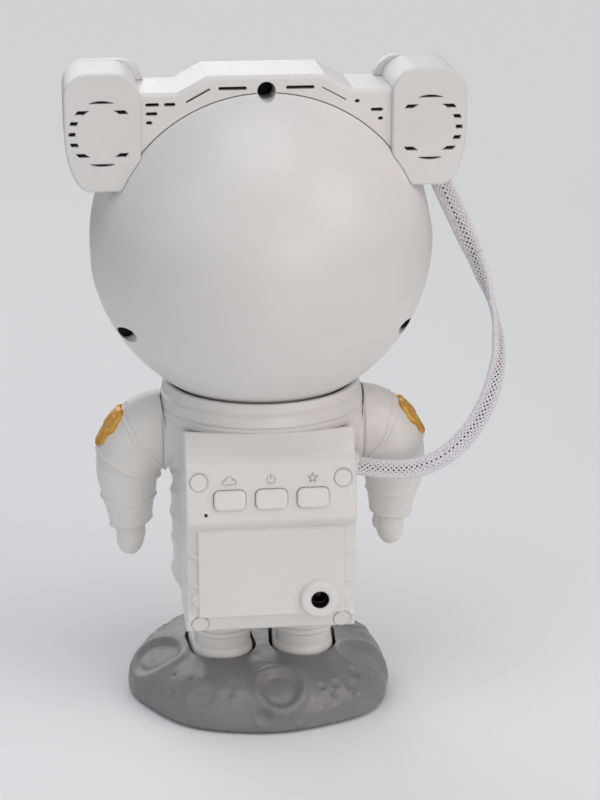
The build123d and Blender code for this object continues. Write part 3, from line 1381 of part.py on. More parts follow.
with BuildPart() as hose_gland_lower:
    with BuildSketch(Plane.YZ.offset(-PACK_HALF - SEAT)):
        with Locations(GLAND_AT[1:]):
            Circle(GLAND_FLANGE_R)
    extrude(amount=-4)
    split(bisect_by=Plane(origin=GLAND_AT, z_dir=GLAND_RUN), keep=Keep.BOTTOM)
    with BuildSketch(Plane.YZ.offset(-PACK_HALF - SEAT)):
        with Locations(GLAND_AT[1:]):
            Circle(GLAND_R)
    extrude(amount=PACK_WALL + SEAT)
    with BuildSketch(Plane.YZ.offset(-PACK_HALF)):
        with Locations(GLAND_AT[1:]):
            Circle(GLAND_BORE_R)
    extrude(amount=PACK_WALL, mode=Mode.SUBTRACT)
hose_gland_lower.part.label = "hose_gland_lower"
export_step(hose_gland_lower.part, "parts/hose_gland_lower.step")

with BuildPart() as hose_gland_upper:
    with BuildSketch(ENTRY_PLANE):
        Circle(GLAND_UPPER_R)
    extrude(amount=GLAND_UPPER_LONG)
hose_gland_upper.part.label = "hose_gland_upper"
export_step(hose_gland_upper.part, "parts/hose_gland_upper.step")

split_from = Vector(*HOSE_ROUTE[HOSE_SPLIT_RUN])
split_to = Vector(*HOSE_ROUTE[HOSE_SPLIT_RUN + 1])
HOSE_SPLIT = split_from + (split_to - split_from) * HOSE_SPLIT_SHARE


def bend_radii(points):
    """Largest arc at each corner of a hose route that its two runs allow."""
    radii = []
    for before, at, after in zip(points, points[1:], points[2:]):
        run_in = at - before
        run_out = after - at
        turn = radians(run_in.get_angle(run_out))
        radii.append(0.45 * min(run_in.length, run_out.length) / tan(turn / 2))
    return radii


lower_route = [Vector(*point) for point in HOSE_ROUTE[: HOSE_SPLIT_RUN + 1]] + [HOSE_SPLIT]
upper_route = [HOSE_SPLIT] + [Vector(*point) for point in HOSE_ROUTE[HOSE_SPLIT_RUN + 1 :]]

for name, route in (("hose_lower", lower_route), ("hose_upper", upper_route)):
    radii = bend_radii(route)
    with BuildPart() as hose:
        with BuildLine() as hose_line:
            FilletPolyline(*route, radius=radii)
        with BuildSketch(Plane(origin=route[0], z_dir=route[1] - route[0])):
            Circle(HOSE_R)
        sweep()
    print(name, "bend radii", [round(radius, 1) for radius in radii])
    print(name, "length", round(hose_line.wires()[0].length, 1))
    section_times_length = pi * HOSE_R**2 * hose_line.wires()[0].length
    print(name, "volume share", round(hose.part.volume / section_times_length, 4))
    hose.part.label = name
    export_step(hose.part, f"parts/{name}.step")
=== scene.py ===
from math import atan2, cos, degrees, exp, hypot, pi, radians, sin, sqrt

import bmesh
import bpy
from mathutils import Matrix, Vector, noise


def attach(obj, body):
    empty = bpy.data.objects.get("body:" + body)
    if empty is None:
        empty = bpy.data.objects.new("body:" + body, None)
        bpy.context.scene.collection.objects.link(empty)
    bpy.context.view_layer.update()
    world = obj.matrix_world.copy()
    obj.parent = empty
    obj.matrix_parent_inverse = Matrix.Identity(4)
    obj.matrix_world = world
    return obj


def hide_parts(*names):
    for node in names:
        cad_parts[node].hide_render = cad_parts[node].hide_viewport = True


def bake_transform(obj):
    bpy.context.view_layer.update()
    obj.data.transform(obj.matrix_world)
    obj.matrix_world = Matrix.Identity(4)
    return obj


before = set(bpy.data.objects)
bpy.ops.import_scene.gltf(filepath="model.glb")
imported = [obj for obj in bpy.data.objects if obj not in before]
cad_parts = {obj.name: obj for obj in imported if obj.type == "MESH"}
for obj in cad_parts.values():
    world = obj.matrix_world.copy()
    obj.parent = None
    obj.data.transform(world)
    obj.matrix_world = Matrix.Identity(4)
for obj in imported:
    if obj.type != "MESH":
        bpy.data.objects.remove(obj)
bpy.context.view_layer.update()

MM = 0.001


def mm(*values):
    """Millimetres to a vector in metres."""
    return Vector(values) * MM


def circle(count):
    """Angles evenly round a circle, in radians."""
    return [2 * pi * i / count for i in range(count)]


def ease(share):
    """Smooth step from 0 to 1."""
    share = min(max(share, 0.0), 1.0)
    return share * share * (3 - 2 * share)


# ---------------------------------------------------------------- camera, lamps and room

LENS = 104.2               # mm
SENSOR = 36                # mm
CAMERA_PLACE = (0.072, 0.7575, 0.3514)
CAMERA_TARGET = (-0.0135, 0, 0.1085)
# Name, place, target, size in metres, watts, colour
LAMPS = (
    ("key_lamp", (-1.0, 0.8, 0.75), (0.0, 0.0, 0.12), 0.8, 5.0, (1.0, 0.92, 0.875)),
    ("fill_lamp", (1.1, 0.9, 0.6), (0.0, 0.0, 0.12), 1.2, 3.0, (0.88, 0.95, 1.0)),
    ("low_lamp", (-0.3, 1.0, 0.07), (0.0, 0.0, 0.0), 0.5, 2.7, (1.0, 0.88, 0.80)),
    ("top_lamp", (0.05, 0.35, 1.4), (0.0, 0.0, 0.1), 0.9, 5.1, (0.94, 0.97, 1.0)),
    ("front_lamp", (0.3, -1.2, 0.8), (0.0, 0.0, 0.12), 1.2, 6.0, (1.0, 0.99, 0.98)),
)
ROOM_COLOUR = (0.78, 0.785, 0.80, 1)
ROOM_LIGHT = 0.36          # strength of the room on the object
ROOM_SEEN = 0.80           # strength of the room where it is seen itself, or in a glossy surface


def aim(obj, place, target):
    """Puts a camera or lamp at a place, looking at the target."""
    obj.location = place
    obj.rotation_euler = (Vector(target) - Vector(place)).to_track_quat("-Z", "Y").to_euler()


bpy.ops.object.camera_add()
camera = bpy.context.active_object
camera.name = "camera"
camera.data.sensor_fit = "AUTO"
camera.data.sensor_width = SENSOR
camera.data.lens = LENS
camera.data.clip_end = 20
aim(camera, CAMERA_PLACE, CAMERA_TARGET)
bpy.context.scene.camera = camera

for name, place, target, size, watts, colour in LAMPS:
    bpy.ops.object.light_add(type="AREA")
    lamp = bpy.context.active_object
    lamp.name = name
    lamp.data.shape = "SQUARE"
    lamp.data.size = size
    lamp.data.energy = watts
    lamp.data.color = colour
    aim(lamp, place, target)

world = bpy.data.worlds.new("studio")
bpy.context.scene.world = world
world.use_nodes = True
room = world.node_tree.nodes["Background"]
room.inputs["Color"].default_value = ROOM_COLOUR
rays = world.node_tree.nodes.new("ShaderNodeLightPath")
seen = rays.outputs["Is Camera Ray"]
for kind in ("Is Glossy Ray", "Is Transmission Ray"):
    either = world.node_tree.nodes.new("ShaderNodeMath")
    either.operation = "MAXIMUM"
    world.node_tree.links.new(seen, either.inputs[0])
    world.node_tree.links.new(rays.outputs[kind], either.inputs[1])
    seen = either.outputs["Value"]
level = world.node_tree.nodes.new("ShaderNodeMapRange")
level.inputs["To Min"].default_value = ROOM_LIGHT
level.inputs["To Max"].default_value = ROOM_SEEN
world.node_tree.links.new(seen, level.inputs["Value"])
world.node_tree.links.new(level.outputs["Result"], room.inputs["Strength"])
bpy.context.scene.view_settings.view_transform = "Standard"

# ---------------------------------------------------------------- finishes


def linear(*levels):
    """Screen colour levels, 0 to 255, as the linear colour a shader takes."""
    shares = [level / 255 for level in levels]
    return tuple(
        share / 12.92 if share < 0.04045 else ((share + 0.055) / 1.055) ** 2.4 for share in shares
    ) + (1.0,)


class Finish:
    """A procedural material: the shader, object coordinates and the nodes between them."""

    def __init__(self, name, **shader):
        self.material = bpy.data.materials.new(name)
        self.material.use_nodes = True
        self.tree = self.material.node_tree
        self.shader = self.tree.nodes["Principled BSDF"]
        for socket, value in shader.items():
            self.shader.inputs[socket.replace("_", " ")].default_value = value
        self.places = self.add("ShaderNodeTexCoord").outputs["Object"]

    def add(self, kind, settings=None, **inputs):
        node = self.tree.nodes.new(kind)
        for key, value in (settings or {}).items():
            setattr(node, key, value)
        for socket, value in inputs.items():
            self.feed(node.inputs[socket.replace("_", " ")], value)
        return node

    def feed(self, socket, value):
        if isinstance(value, bpy.types.NodeSocket):
            self.tree.links.new(value, socket)
        else:
            socket.default_value = value

    def speckle(self, scale, detail=3.0, places=None):
        """Soft random grain, scale in features per metre."""
        node = self.add(
            "ShaderNodeTexNoise", Vector=places or self.places, Scale=scale, Detail=detail
        )
        return node.outputs["Fac"]

    def spread(self, value, low, high, start=0.3, end=0.7):
        """Maps a value that runs from start to end onto low to high."""
        node = self.add(
            "ShaderNodeMapRange", Value=value, From_Min=start, From_Max=end, To_Min=low, To_Max=high
        )
        return node.outputs["Result"]

    def blend(self, share, first, second):
        """Colour between two colours."""
        node = self.add("ShaderNodeMix", {"data_type": "RGBA"})
        self.feed(node.inputs["Factor"], share)
        self.feed(node.inputs["A"], first)
        self.feed(node.inputs["B"], second)
        return node.outputs["Result"]

    def colour(self, value):
        self.feed(self.shader.inputs["Base Color"], value)

    def rough(self, value):
        self.feed(self.shader.inputs["Roughness"], value)

    def relief(self, height, distance, strength=1.0, edge=0.0):
        """Surface relief, over edges that are rounded by the radius edge."""
        bump = self.add("ShaderNodeBump", Height=height, Distance=distance, Strength=strength)
        if edge:
            soft = self.add("ShaderNodeBevel", {"samples": 6}, Radius=edge)
            self.feed(bump.inputs["Normal"], soft.outputs["Normal"])
        self.feed(self.shader.inputs["Normal"], bump.outputs["Normal"])


def moulded(name, tone, shade, rough, grain=0.00002, edge=0.0005, **shader):
    """Moulded plastic: a slow drift of tone, a fine spark-eroded grain and softened edges."""
    finish = Finish(name, **shader)
    drift = finish.speckle(28, 2.0)
    finish.colour(finish.blend(finish.spread(drift, 0, 1), tone, shade))
    finish.rough(finish.spread(finish.speckle(260), rough - 0.04, rough + 0.05))
    finish.relief(finish.speckle(2600, 2.0), grain, 0.6, edge)
    return finish


suit_white = moulded(
    "suit_white_plastic", linear(226, 224, 222), linear(221, 219, 216), 0.35,
    Subsurface_Weight=0.06, Subsurface_Scale=0.002,
)
helmet_white = moulded(
    "helmet_white_plastic", linear(228, 226, 225), linear(224, 222, 220), 0.36,
    grain=0.000012, edge=0.0003, Subsurface_Weight=0.05, Subsurface_Scale=0.002,
)
# Painted shade: the helmet's white made a little darker, standing in for the shadow that falls on
# the front shell.
front_white_painted_shade = moulded(
    "helmet_front_plastic_painted_shade", linear(224, 222, 220), linear(219, 217, 214), 0.38, edge=0.0003
)
ear_white = moulded(
    "ear_box_plastic", linear(226, 225, 224), linear(220, 219, 218), 0.44, edge=0.0006
)
button_white = moulded(
    "button_plastic", linear(229, 227, 224), linear(225, 222, 219), 0.34, edge=0.0009
)
moon_grey = Finish("moon_plastic")
moon_patches = moon_grey.speckle(60, 4.0)
moon_grey.colour(
    moon_grey.blend(
        moon_grey.spread(moon_patches, 0, 1), linear(117, 116, 119), linear(131, 129, 131)
    )
)
moon_grey.rough(moon_grey.spread(moon_grey.speckle(420), 0.29, 0.43))
moon_grey.relief(moon_grey.speckle(900, 5.0), 0.00012, 0.5)

black = moulded("black_plastic", linear(20, 20, 21), linear(27, 26, 27), 0.4, edge=0.0003)
lining = moulded("dark_liner", linear(16, 15, 16), linear(24, 23, 24), 0.75, grain=0.00006)
foam = Finish("foam_pad", Sheen_Weight=0.3)
foam_cells = foam.add("ShaderNodeTexVoronoi", Vector=foam.places, Scale=1500.0).outputs["Distance"]
foam.colour(foam.blend(foam_cells, linear(24, 24, 25), linear(62, 61, 62)))
foam.rough(foam.spread(foam_cells, 0.8, 0.95))
foam.relief(foam_cells, 0.0003, 0.8)


def metal(name, tone, dull, rough, along=(1.0, 1.0, 1.0)):
    """Machined or rolled metal, its marks drawn out along one direction."""
    finish = Finish(name, Metallic=1.0)
    drawn = finish.add("ShaderNodeMapping", Vector=finish.places, Scale=along).outputs["Vector"]
    marks = finish.speckle(3000, 3.0, drawn)
    finish.colour(finish.blend(finish.spread(finish.speckle(200), 0, 1), tone, dull))
    finish.rough(finish.spread(marks, rough - 0.08, rough + 0.1))
    finish.relief(marks, 0.00001, 0.5, 0.0002)
    return finish


steel = metal("zinc_steel", linear(190, 190, 192), linear(150, 151, 155), 0.34)
black_steel = metal("blackened_steel", linear(34, 33, 35), linear(22, 22, 24), 0.5)
aluminium = metal("aluminium", linear(205, 206, 208), linear(172, 173, 176), 0.38, (1, 1, 0.1))
brass = metal("brass", linear(214, 178, 106), linear(186, 148, 82), 0.3, (1, 0.1, 1))

board = Finish("green_board", Coat_Weight=0.4)
tracks = board.add(
    "ShaderNodeTexBrick", Vector=board.places, Scale=160.0, Mortar_Size=0.012,
    Color1=linear(24, 92, 52), Color2=linear(20, 80, 46), Mortar=linear(60, 128, 76),
)
board.colour(tracks.outputs["Color"])
board.rough(board.spread(board.speckle(500), 0.3, 0.45))
board.relief(tracks.outputs["Fac"], 0.00005, 0.4, 0.0002)

smoked = Finish("smoked_visor", Coat_Weight=1.0, Coat_Roughness=0.03, Specular_IOR_Level=0.7)
smoked.colour(smoked.blend(smoked.speckle(30), linear(13, 12, 15), linear(24, 20, 26)))
smoked.rough(smoked.spread(smoked.speckle(70), 0.06, 0.12))
smoked.relief(smoked.speckle(60, 1.0), 0.00003, 0.3)

lens_glass = Finish(
    "lens_glass", Coat_Weight=1.0, Coat_Roughness=0.02, IOR=1.6, Transmission_Weight=0.85
)
lens_glass.colour(
    lens_glass.blend(lens_glass.speckle(80), linear(214, 222, 236), linear(236, 228, 244))
)
lens_glass.rough(lens_glass.spread(lens_glass.speckle(90), 0.02, 0.06))

film = Finish("nebula_film", Coat_Weight=0.8)
clouds = film.speckle(90, 5.0)
film.colour(
    film.blend(
        film.spread(clouds, 0, 1, 0.4, 0.6),
        film.blend(film.speckle(50), linear(46, 20, 120), linear(24, 90, 190)),
        film.blend(film.speckle(70), linear(190, 40, 130), linear(60, 190, 190)),
    )
)
film.rough(film.spread(clouds, 0.12, 0.25))

NODE_FINISH = {
    suit_white: "backpack_shell chest_pack left_leg right_leg neck_collar screw_caps"
    " hose_gland_lower torso_front torso_rear left_arm right_arm",
    helmet_white: "helmet_rear headband",
    front_white_painted_shade: "helmet_front visor_bezel",
    ear_white: "left_ear_box right_ear_box left_ear_cap right_ear_cap hose_gland_upper",
    button_white: "nebula_button power_button star_button",
    moon_grey: "moon_base",
    black: "base_cover dc_jack microphone optics_frame lens_bridge tact_switches",
    lining: "band_liner ear_liners",
    foam: "base_pad neck_pad",
    black_steel: "helmet_screws",
    steel: "base_screws backpack_screws optics_screws head_steel_plate"
    " base_weight neck_magnet motor_shaft",
    aluminium: "heat_sink gear_motor",
    brass: "laser_module",
    board: "control_board head_board led_board",
    smoked: "visor laser_window",
    lens_glass: "projection_lens condenser_lens star_grating",
    film: "nebula_wheel",
}
for finish, names in NODE_FINISH.items():
    for name in names.split():
        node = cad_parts[name]
        node.data.materials.clear()
        node.data.materials.append(finish.material)

# ---------------------------------------------------------------- modelling steps


def deselect():
    bpy.ops.object.select_all(action="DESELECT")


def pick(obj):
    deselect()
    obj.select_set(True)
    bpy.context.view_layer.objects.active = obj


def modify(obj, kind, **values):
    """Adds a modifier and applies it."""
    pick(obj)
    modifier = obj.modifiers.new(kind.lower(), kind)
    for key, value in values.items():
        setattr(modifier, key, value)
    bpy.ops.object.modifier_apply(modifier=modifier.name)


def combine(obj, operation, tool):
    """Boolean with a tool that is removed afterwards."""
    modify(obj, "BOOLEAN", operation=operation, solver="EXACT", object=tool)
    bpy.data.objects.remove(tool)


def complete(obj, name, finish, body, *nodes, angle=40):
    """Names the piece, sets its origin, shading and finish, and puts it on its body."""
    pick(obj)
    obj.name = name
    obj.data.name = name
    bpy.ops.object.transform_apply(location=True, rotation=True, scale=True)
    bpy.ops.object.shade_smooth_by_angle(angle=radians(angle))
    obj.data.materials.clear()
    obj.data.materials.append(finish.material)
    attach(obj, body)
    if nodes:
        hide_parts(*nodes)


def skin(rings):
    """Closed skin through rings of points in metres: one ring is drawn and extruded to the next."""
    deselect()
    bpy.ops.mesh.primitive_circle_add(vertices=len(rings[0]), radius=1)
    obj = bpy.context.active_object
    bpy.ops.object.mode_set(mode="EDIT")
    bpy.ops.mesh.select_all(action="SELECT")
    form = bmesh.from_edit_mesh(obj.data)
    loop = list(form.verts)
    for vertex, place in zip(loop, rings[0]):
        vertex.co = place
    edges = list(form.edges)
    ends = [loop]
    for ring in rings[1:]:
        where = {tuple(vertex.co): i for i, vertex in enumerate(loop)}
        grown = bmesh.ops.extrude_edge_only(form, edges=edges)["geom"]
        verts = [item for item in grown if isinstance(item, bmesh.types.BMVert)]
        fresh = {where[tuple(vertex.co)]: vertex for vertex in verts}
        loop = [fresh[i] for i in range(len(ring))]
        edges = [item for item in grown if isinstance(item, bmesh.types.BMEdge)]
        for vertex, place in zip(loop, ring):
            vertex.co = place
    ends.append(loop)
    for loop in ends:
        form.faces.new(loop)
    bmesh.update_edit_mesh(obj.data)
    bpy.ops.mesh.select_all(action="SELECT")
    bpy.ops.mesh.normals_make_consistent(inside=False)
    bpy.ops.object.mode_set(mode="OBJECT")
    return obj


def carve(obj, depth):
    """Moves each point along its normal by depth(place, normal), all in mm."""
    normals = [vertex.normal.copy() for vertex in obj.data.vertices]
    for vertex, normal in zip(obj.data.vertices, normals):
        vertex.co += normal * (depth(vertex.co / MM, normal) * MM)


def as_object(form, name):
    """New object from a bmesh."""
    data = bpy.data.meshes.new(name)
    form.to_mesh(data)
    form.free()
    obj = bpy.data.objects.new(name, data)
    bpy.context.collection.objects.link(obj)
    return obj


def duplicate(obj):
    twin = obj.copy()
    twin.data = obj.data.copy()
    bpy.context.collection.objects.link(twin)
    return twin


def mirrored(obj):
    """Copy of a piece on the other side, with its faces the right way out."""
    twin = duplicate(obj)
    twin.data.transform(Matrix.Scale(-1, 4, (1, 0, 0)))
    twin.data.flip_normals()
    return twin


def joined(first, *others):
    pick(first)
    for other in others:
        other.select_set(True)
    bpy.ops.object.join()
    return first


def flow(rows, at):
    """Row of numbers on the smooth curve through the rows, at a place counted in rows."""
    i = min(int(at), len(rows) - 2)
    u = at - i
    ends = rows[max(i - 1, 0)], rows[i], rows[i + 1], rows[min(i + 2, len(rows) - 1)]
    row = []
    for a, b, c, d in zip(*ends):
        square, cube = 2 * a - 5 * b + 4 * c - d, 3 * b - a - 3 * c + d
        row.append(0.5 * (2 * b + (c - a) * u + square * u * u + cube * u**3))
    return row


# ---------------------------------------------------------------- braided hose

HOSE_SPLIT = (-71.041, 11.864, 162.014)
HOSE_LOWER = (
    (-30.6, 20.5, 91.0), (-45.0, 22.0, 88.4), (-60.0, 22.0, 92.2), (-71.5, 21.4, 103.8),
    (-78.3, 19.8, 119.5), (-79.4, 17.6, 135.0), (-75.6, 14.6, 150.5), HOSE_SPLIT,
)
HOSE_UPPER = (HOSE_SPLIT, (-67.3, 9.8, 170.7), (-62.0, 7.0, 181.8), (-57.2, 4.6, 192.6))
HOSE_FACE = Vector((0.15, 0.95, 0.25))   # the flat side's direction where the sleeve isn't turned
# Distance along the hose in mm, turn of the flat side in degrees, width, thickness
HOSE_TURN = (
    (0, -14, 6.5, 3.1), (20, -6, 6.8, 2.8), (48, 2, 6.8, 2.5), (62, 16, 6.3, 2.6),
    (75, 52, 6.0, 2.7), (88, 92, 6.1, 2.7), (101, 138, 6.6, 2.5), (116, 172, 7.2, 2.4),
    (132, 186, 7.2, 2.5), (144, 190, 5.6, 3.2),
)
HOSE_STEP = 0.7            # mm between two sections
HOSE_STRANDS = 15          # each way round
HOSE_PITCH = 27.0          # mm along the hose for one turn of a strand
STRAND_HALF = (0.35, 0.12)  # half width and half thickness of a strand
STRAND_DEPTH = 0.3         # how deep the strands lie inside the sleeve's outline
STRAND_WEAVE = 0.13        # how far a strand passes over and under the others
# Section of a strand, two plies side by side, in half widths and half thicknesses
STRAND_SECTION = ((-1, -0.3), (-0.62, 1), (0, 0.55), (0.62, 1), (1, -0.3), (0, -1))
WIRE_HALF = (0.58, 0.55)
WIRE_SWAY = (0.12, 11.0)   # sideways wave of a wire: size in half widths, mm for each radian
WIRE_RISE = (0.25, 17.0)   # the same through the sleeve's thickness


def hose_line(name, route):
    """Points along the smooth line of a hose route, in metres."""
    curve = bpy.data.curves.new(name, "CURVE")
    curve.dimensions = "3D"
    curve.resolution_u = 24
    spline = curve.splines.new("NURBS")
    spline.points.add(len(route) - 1)
    for point, place in zip(spline.points, route):
        point.co = (*mm(*place), 1)
    spline.order_u = 3
    spline.use_endpoint_u = True
    holder = bpy.data.objects.new(name, curve)
    bpy.context.collection.objects.link(holder)
    mesh = bpy.data.meshes.new_from_object(holder)
    points = [vertex.co.copy() for vertex in mesh.vertices]
    bpy.data.objects.remove(holder)
    bpy.data.curves.remove(curve)
    bpy.data.meshes.remove(mesh)
    return points


def between(table, at):
    """Row of a table at a place, eased between the rows on either side."""
    if at <= table[0][0]:
        return table[0][1:]
    for low, high in zip(table, table[1:]):
        if at <= high[0]:
            share = (at - low[0]) / (high[0] - low[0])
            return tuple(a + (b - a) * ease(share) for a, b in zip(low[1:], high[1:]))
    return table[-1][1:]


class Walk:
    """A line of points that is read by distance along it."""

    def __init__(self, points):
        self.points = points
        self.reach = [0.0]
        for before, after in zip(points, points[1:]):
            self.reach.append(self.reach[-1] + (after - before).length)
        self.length = self.reach[-1]

    def at(self, distance):
        distance = min(max(distance, 0), self.length)
        i = 0
        while i < len(self.reach) - 2 and self.reach[i + 1] < distance:
            i += 1
        share = (distance - self.reach[i]) / (self.reach[i + 1] - self.reach[i])
        return self.points[i].lerp(self.points[i + 1], share)

    def heading(self, distance, span=0.0012):
        return (self.at(distance + span) - self.at(distance - span)).normalized()


def hose_section(walk, distance, along):
    """Centre, width and thickness directions and half sizes of the flat sleeve."""
    turn, width, thick = between(HOSE_TURN, along / MM)
    heading = walk.heading(distance)
    face = (HOSE_FACE - HOSE_FACE.dot(heading) * heading).normalized()
    face = Matrix.Rotation(radians(turn), 3, heading) @ face
    return walk.at(distance), heading.cross(face), face, width / 2 * MM, thick / 2 * MM


def sleeve_point(section, angle, out=0.0):
    """Point on the flat sleeve's rounded section, and the direction away from it."""
    centre, wide, thick, half_w, half_t = section
    c, s = cos(angle), sin(angle)
    x = (half_w + out) * (abs(c) ** 0.8) * (1 if c > 0 else -1)
    y = (half_t + out) * (abs(s) ** 0.8) * (1 if s > 0 else -1)
    return centre + wide * x + thick * y, (wide * c * half_t + thick * s * half_w).normalized()


def strand(mesh, places, outs, half_w, half_t):
    """Adds one closed flat strand through the places, lying across the outward directions."""
    rings = []
    for i, (place, out) in enumerate(zip(places, outs)):
        ahead = places[min(i + 1, len(places) - 1)] - places[max(i - 1, 0)]
        across = ahead.normalized().cross(out).normalized()
        ring = []
        for a, b in STRAND_SECTION:
            ring.append(mesh.verts.new(place + across * a * half_w + out * b * half_t))
        rings.append(ring)
    for before, after in zip(rings, rings[1:]):
        for i in range(len(before)):
            j = (i + 1) % len(before)
            mesh.faces.new((before[i], before[j], after[j], after[i]))
    mesh.faces.new(list(reversed(rings[0])))
    mesh.faces.new(rings[-1])


hose_white = Finish("hose_white_yarn", Sheen_Weight=0.25, Sheen_Roughness=0.4)
yarn_twist = hose_white.add(
    "ShaderNodeTexWave", {"wave_type": "BANDS", "bands_direction": "DIAGONAL"},
    Vector=hose_white.places, Scale=1400.0, Distortion=2.0,
).outputs["Fac"]
hose_white.colour(hose_white.blend(yarn_twist, linear(214, 210, 218), linear(240, 238, 243)))
hose_white.rough(hose_white.spread(yarn_twist, 0.34, 0.5))
hose_white.relief(yarn_twist, 0.00006, 0.5)
wire_black = moulded("wire_black_plastic", linear(26, 24, 28), linear(36, 33, 38), 0.4, edge=0)
wire_pink = moulded("wire_pink_plastic", linear(196, 92, 118), linear(178, 76, 104), 0.4, edge=0)
wire_white = moulded(
    "wire_white_plastic", linear(206, 203, 212), linear(192, 188, 200), 0.42, edge=0
)
# Place across the sleeve in half widths, finish, phase of its waves
WIRES = ((-0.58, wire_pink, 0.4), (0.0, wire_black, 1.9), (0.58, wire_white, 3.1))


def hose(name, walk, start):
    """A stretch of the braided sleeve with the three wires in it."""
    count = round(walk.length / (HOSE_STEP * MM))
    marks = [walk.length * i / count for i in range(count + 1)]
    sections = [hose_section(walk, mark, start + mark) for mark in marks]
    mesh = bmesh.new()
    for way in (1, -1):
        for k in range(HOSE_STRANDS):
            places, outs = [], []
            for mark, section in zip(marks, sections):
                turn = 2 * pi * (start + mark) / (HOSE_PITCH * MM)
                angle = 2 * pi * k / HOSE_STRANDS + way * turn
                lift = way * STRAND_WEAVE * cos(HOSE_STRANDS * turn) - STRAND_DEPTH
                place, out = sleeve_point(section, angle, lift * MM)
                places.append(place)
                outs.append(out)
            strand(mesh, places, outs, *[half * MM for half in STRAND_HALF])
    done = len(mesh.faces)
    for index, (share, finish, phase) in enumerate(WIRES):
        places, outs = [], []
        for mark, section in zip(marks, sections):
            centre, wide, thick, half_w, half_t = section
            sway = WIRE_SWAY[0] * sin((start + mark) / (WIRE_SWAY[1] * MM) + phase)
            rise = WIRE_RISE[0] * sin((start + mark) / (WIRE_RISE[1] * MM) + 2 * phase)
            places.append(centre + wide * half_w * (share + sway) + thick * half_t * rise)
            outs.append(thick)
        strand(mesh, places, outs, *[half * MM for half in WIRE_HALF])
        for face in list(mesh.faces)[done:]:
            face.material_index = index + 1
        done = len(mesh.faces)
    obj = as_object(mesh, name)
    for polygon in obj.data.polygons:
        polygon.use_smooth = True
    for finish in (hose_white, *[finish for share, finish, phase in WIRES]):
        obj.data.materials.append(finish.material)
    return obj


lower_walk = Walk(hose_line("hose_lower_line", HOSE_LOWER))
upper_walk = Walk(hose_line("hose_upper_line", HOSE_UPPER))
hose_low = hose("hose_sleeve_lower", lower_walk, 0.0)
hose_high = hose("hose_sleeve_upper", upper_walk, lower_walk.length)
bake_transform(hose_low)
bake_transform(hose_high)
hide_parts("hose_lower")
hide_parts("hose_upper")

# ---------------------------------------------------------------- moon base

BASE_Y = -8.0
BASE_R = 46.3
MOUND_TOP = 18.2
MOUND_FLAT = 5.0           # how far the flat of the mound reaches before it turns down
MOUND_EDGE = 2.8           # how round its shoulder is
LOBES = ((0.020, 3, 0.4), (0.014, 5, 1.9), (0.009, 8, 0.8))   # of its outline: size, waves, phase
BASE_LOW = 0.8             # the rim's underside, over the pad
COVER_R = 41.15            # recess for the base cover
COVER_SEAT = 2.75
MOON_AROUND = 300          # points round the mound
UNEVEN = ((0.55, 0.07), (0.22, 0.2), (0.06, 0.7))   # unevenness: height, waves per mm
# Craters and pits: x, y, radius, depth, raised lip, flat share of the floor, stretch along x
PITS = (
    (-3.2, 30.2, 8.7, 2.3, 1.15, 0.74, 0.9),
    (2.7, 37.0, 3.3, 1.2, 0.4, 0.2, 1.0),
    (38.4, -1.0, 10.4, 1.5, 0.75, 0.7, 1.0),
    (-36.6, 8.4, 9.6, 1.4, 0.7, 0.65, 1.0),
    (23.6, 29.0, 4.2, 0.6, 0.3, 0.4, 1.3),
    (10.8, 22.3, 1.2, 0.7, 0.2, 0.2, 1.0),
    (16.1, 25.5, 1.1, 0.6, 0.15, 0.2, 1.0),
    (26.8, 21.4, 1.2, 0.6, 0.2, 0.2, 1.0),
    (32.6, 15.6, 1.3, 0.6, 0.2, 0.2, 1.0),
    (34.0, 21.0, 1.8, 0.7, 0.25, 0.2, 1.2),
    (37.0, 17.3, 1.5, 0.6, 0.2, 0.2, 1.0),
    (-17.8, 29.2, 1.6, 0.8, 0.3, 0.2, 1.0),
    (-22.7, 27.3, 1.9, 0.9, 0.35, 0.3, 1.0),
    (-28.4, 26.0, 2.2, 0.9, 0.35, 0.3, 1.2),
    (-21.9, 30.2, 1.5, 0.7, 0.3, 0.2, 1.0),
    (-30.0, 27.2, 1.6, 0.7, 0.3, 0.2, 1.0),
    (-30.9, 20.3, 2.7, 0.9, 0.35, 0.3, 1.0),
    (-39.4, 14.2, 1.8, 0.7, 0.3, 0.2, 1.0),
    (-33.0, -22.0, 6.4, 1.4, 0.6, 0.6, 1.1),
    (8.0, -44.0, 5.0, 1.3, 0.6, 0.5, 1.0),
    (-13.0, -40.0, 7.4, 1.8, 0.8, 0.65, 1.0),
    (26.0, -36.0, 3.6, 0.9, 0.4, 0.4, 1.0),
    (-2.0, -48.0, 1.9, 0.7, 0.25, 0.2, 1.0),
    (17.5, -31.0, 1.6, 0.7, 0.25, 0.2, 1.0),
    (-27.0, -36.0, 2.0, 0.8, 0.3, 0.2, 1.0),
    (1.0, -29.5, 2.4, 0.8, 0.3, 0.3, 1.0),
    (34.0, -26.0, 2.2, 0.8, 0.3, 0.3, 1.0),
)
# Small stones and low humps: x, y, radius, height
HUMPS = (
    (11.5, 30.5, 1.4, 0.7), (13.3, 32.6, 1.4, 0.9), (14.0, 35.6, 2.0, 1.2),
    (-9.6, 36.4, 1.2, 0.8), (-22.2, 31.8, 1.3, 0.8), (-16.6, 33.9, 1.2, 0.7),
    (22.0, 22.5, 3.6, 0.6), (-14.0, 25.0, 3.4, 0.5), (26.0, -30.0, 3.4, 0.8),
    (-24.0, -42.0, 2.6, 0.8), (2.0, -36.0, 3.0, 0.6), (18.0, -47.0, 1.6, 0.8),
    (-6.0, -30.0, 1.5, 0.6), (38.0, -18.0, 2.4, 0.7), (-38.0, -10.0, 2.4, 0.7),
    (8.0, 16.5, 2.4, 0.4),
)
BOOT_TOE = (15.1, -10.0)   # middles of the left boot's two rounds
BOOT_HEEL = (14.3, 0.0)
BOOT_R = 10.7
SOCKET_GAP = 1.3
SOCKET_FLOOR = 8.0


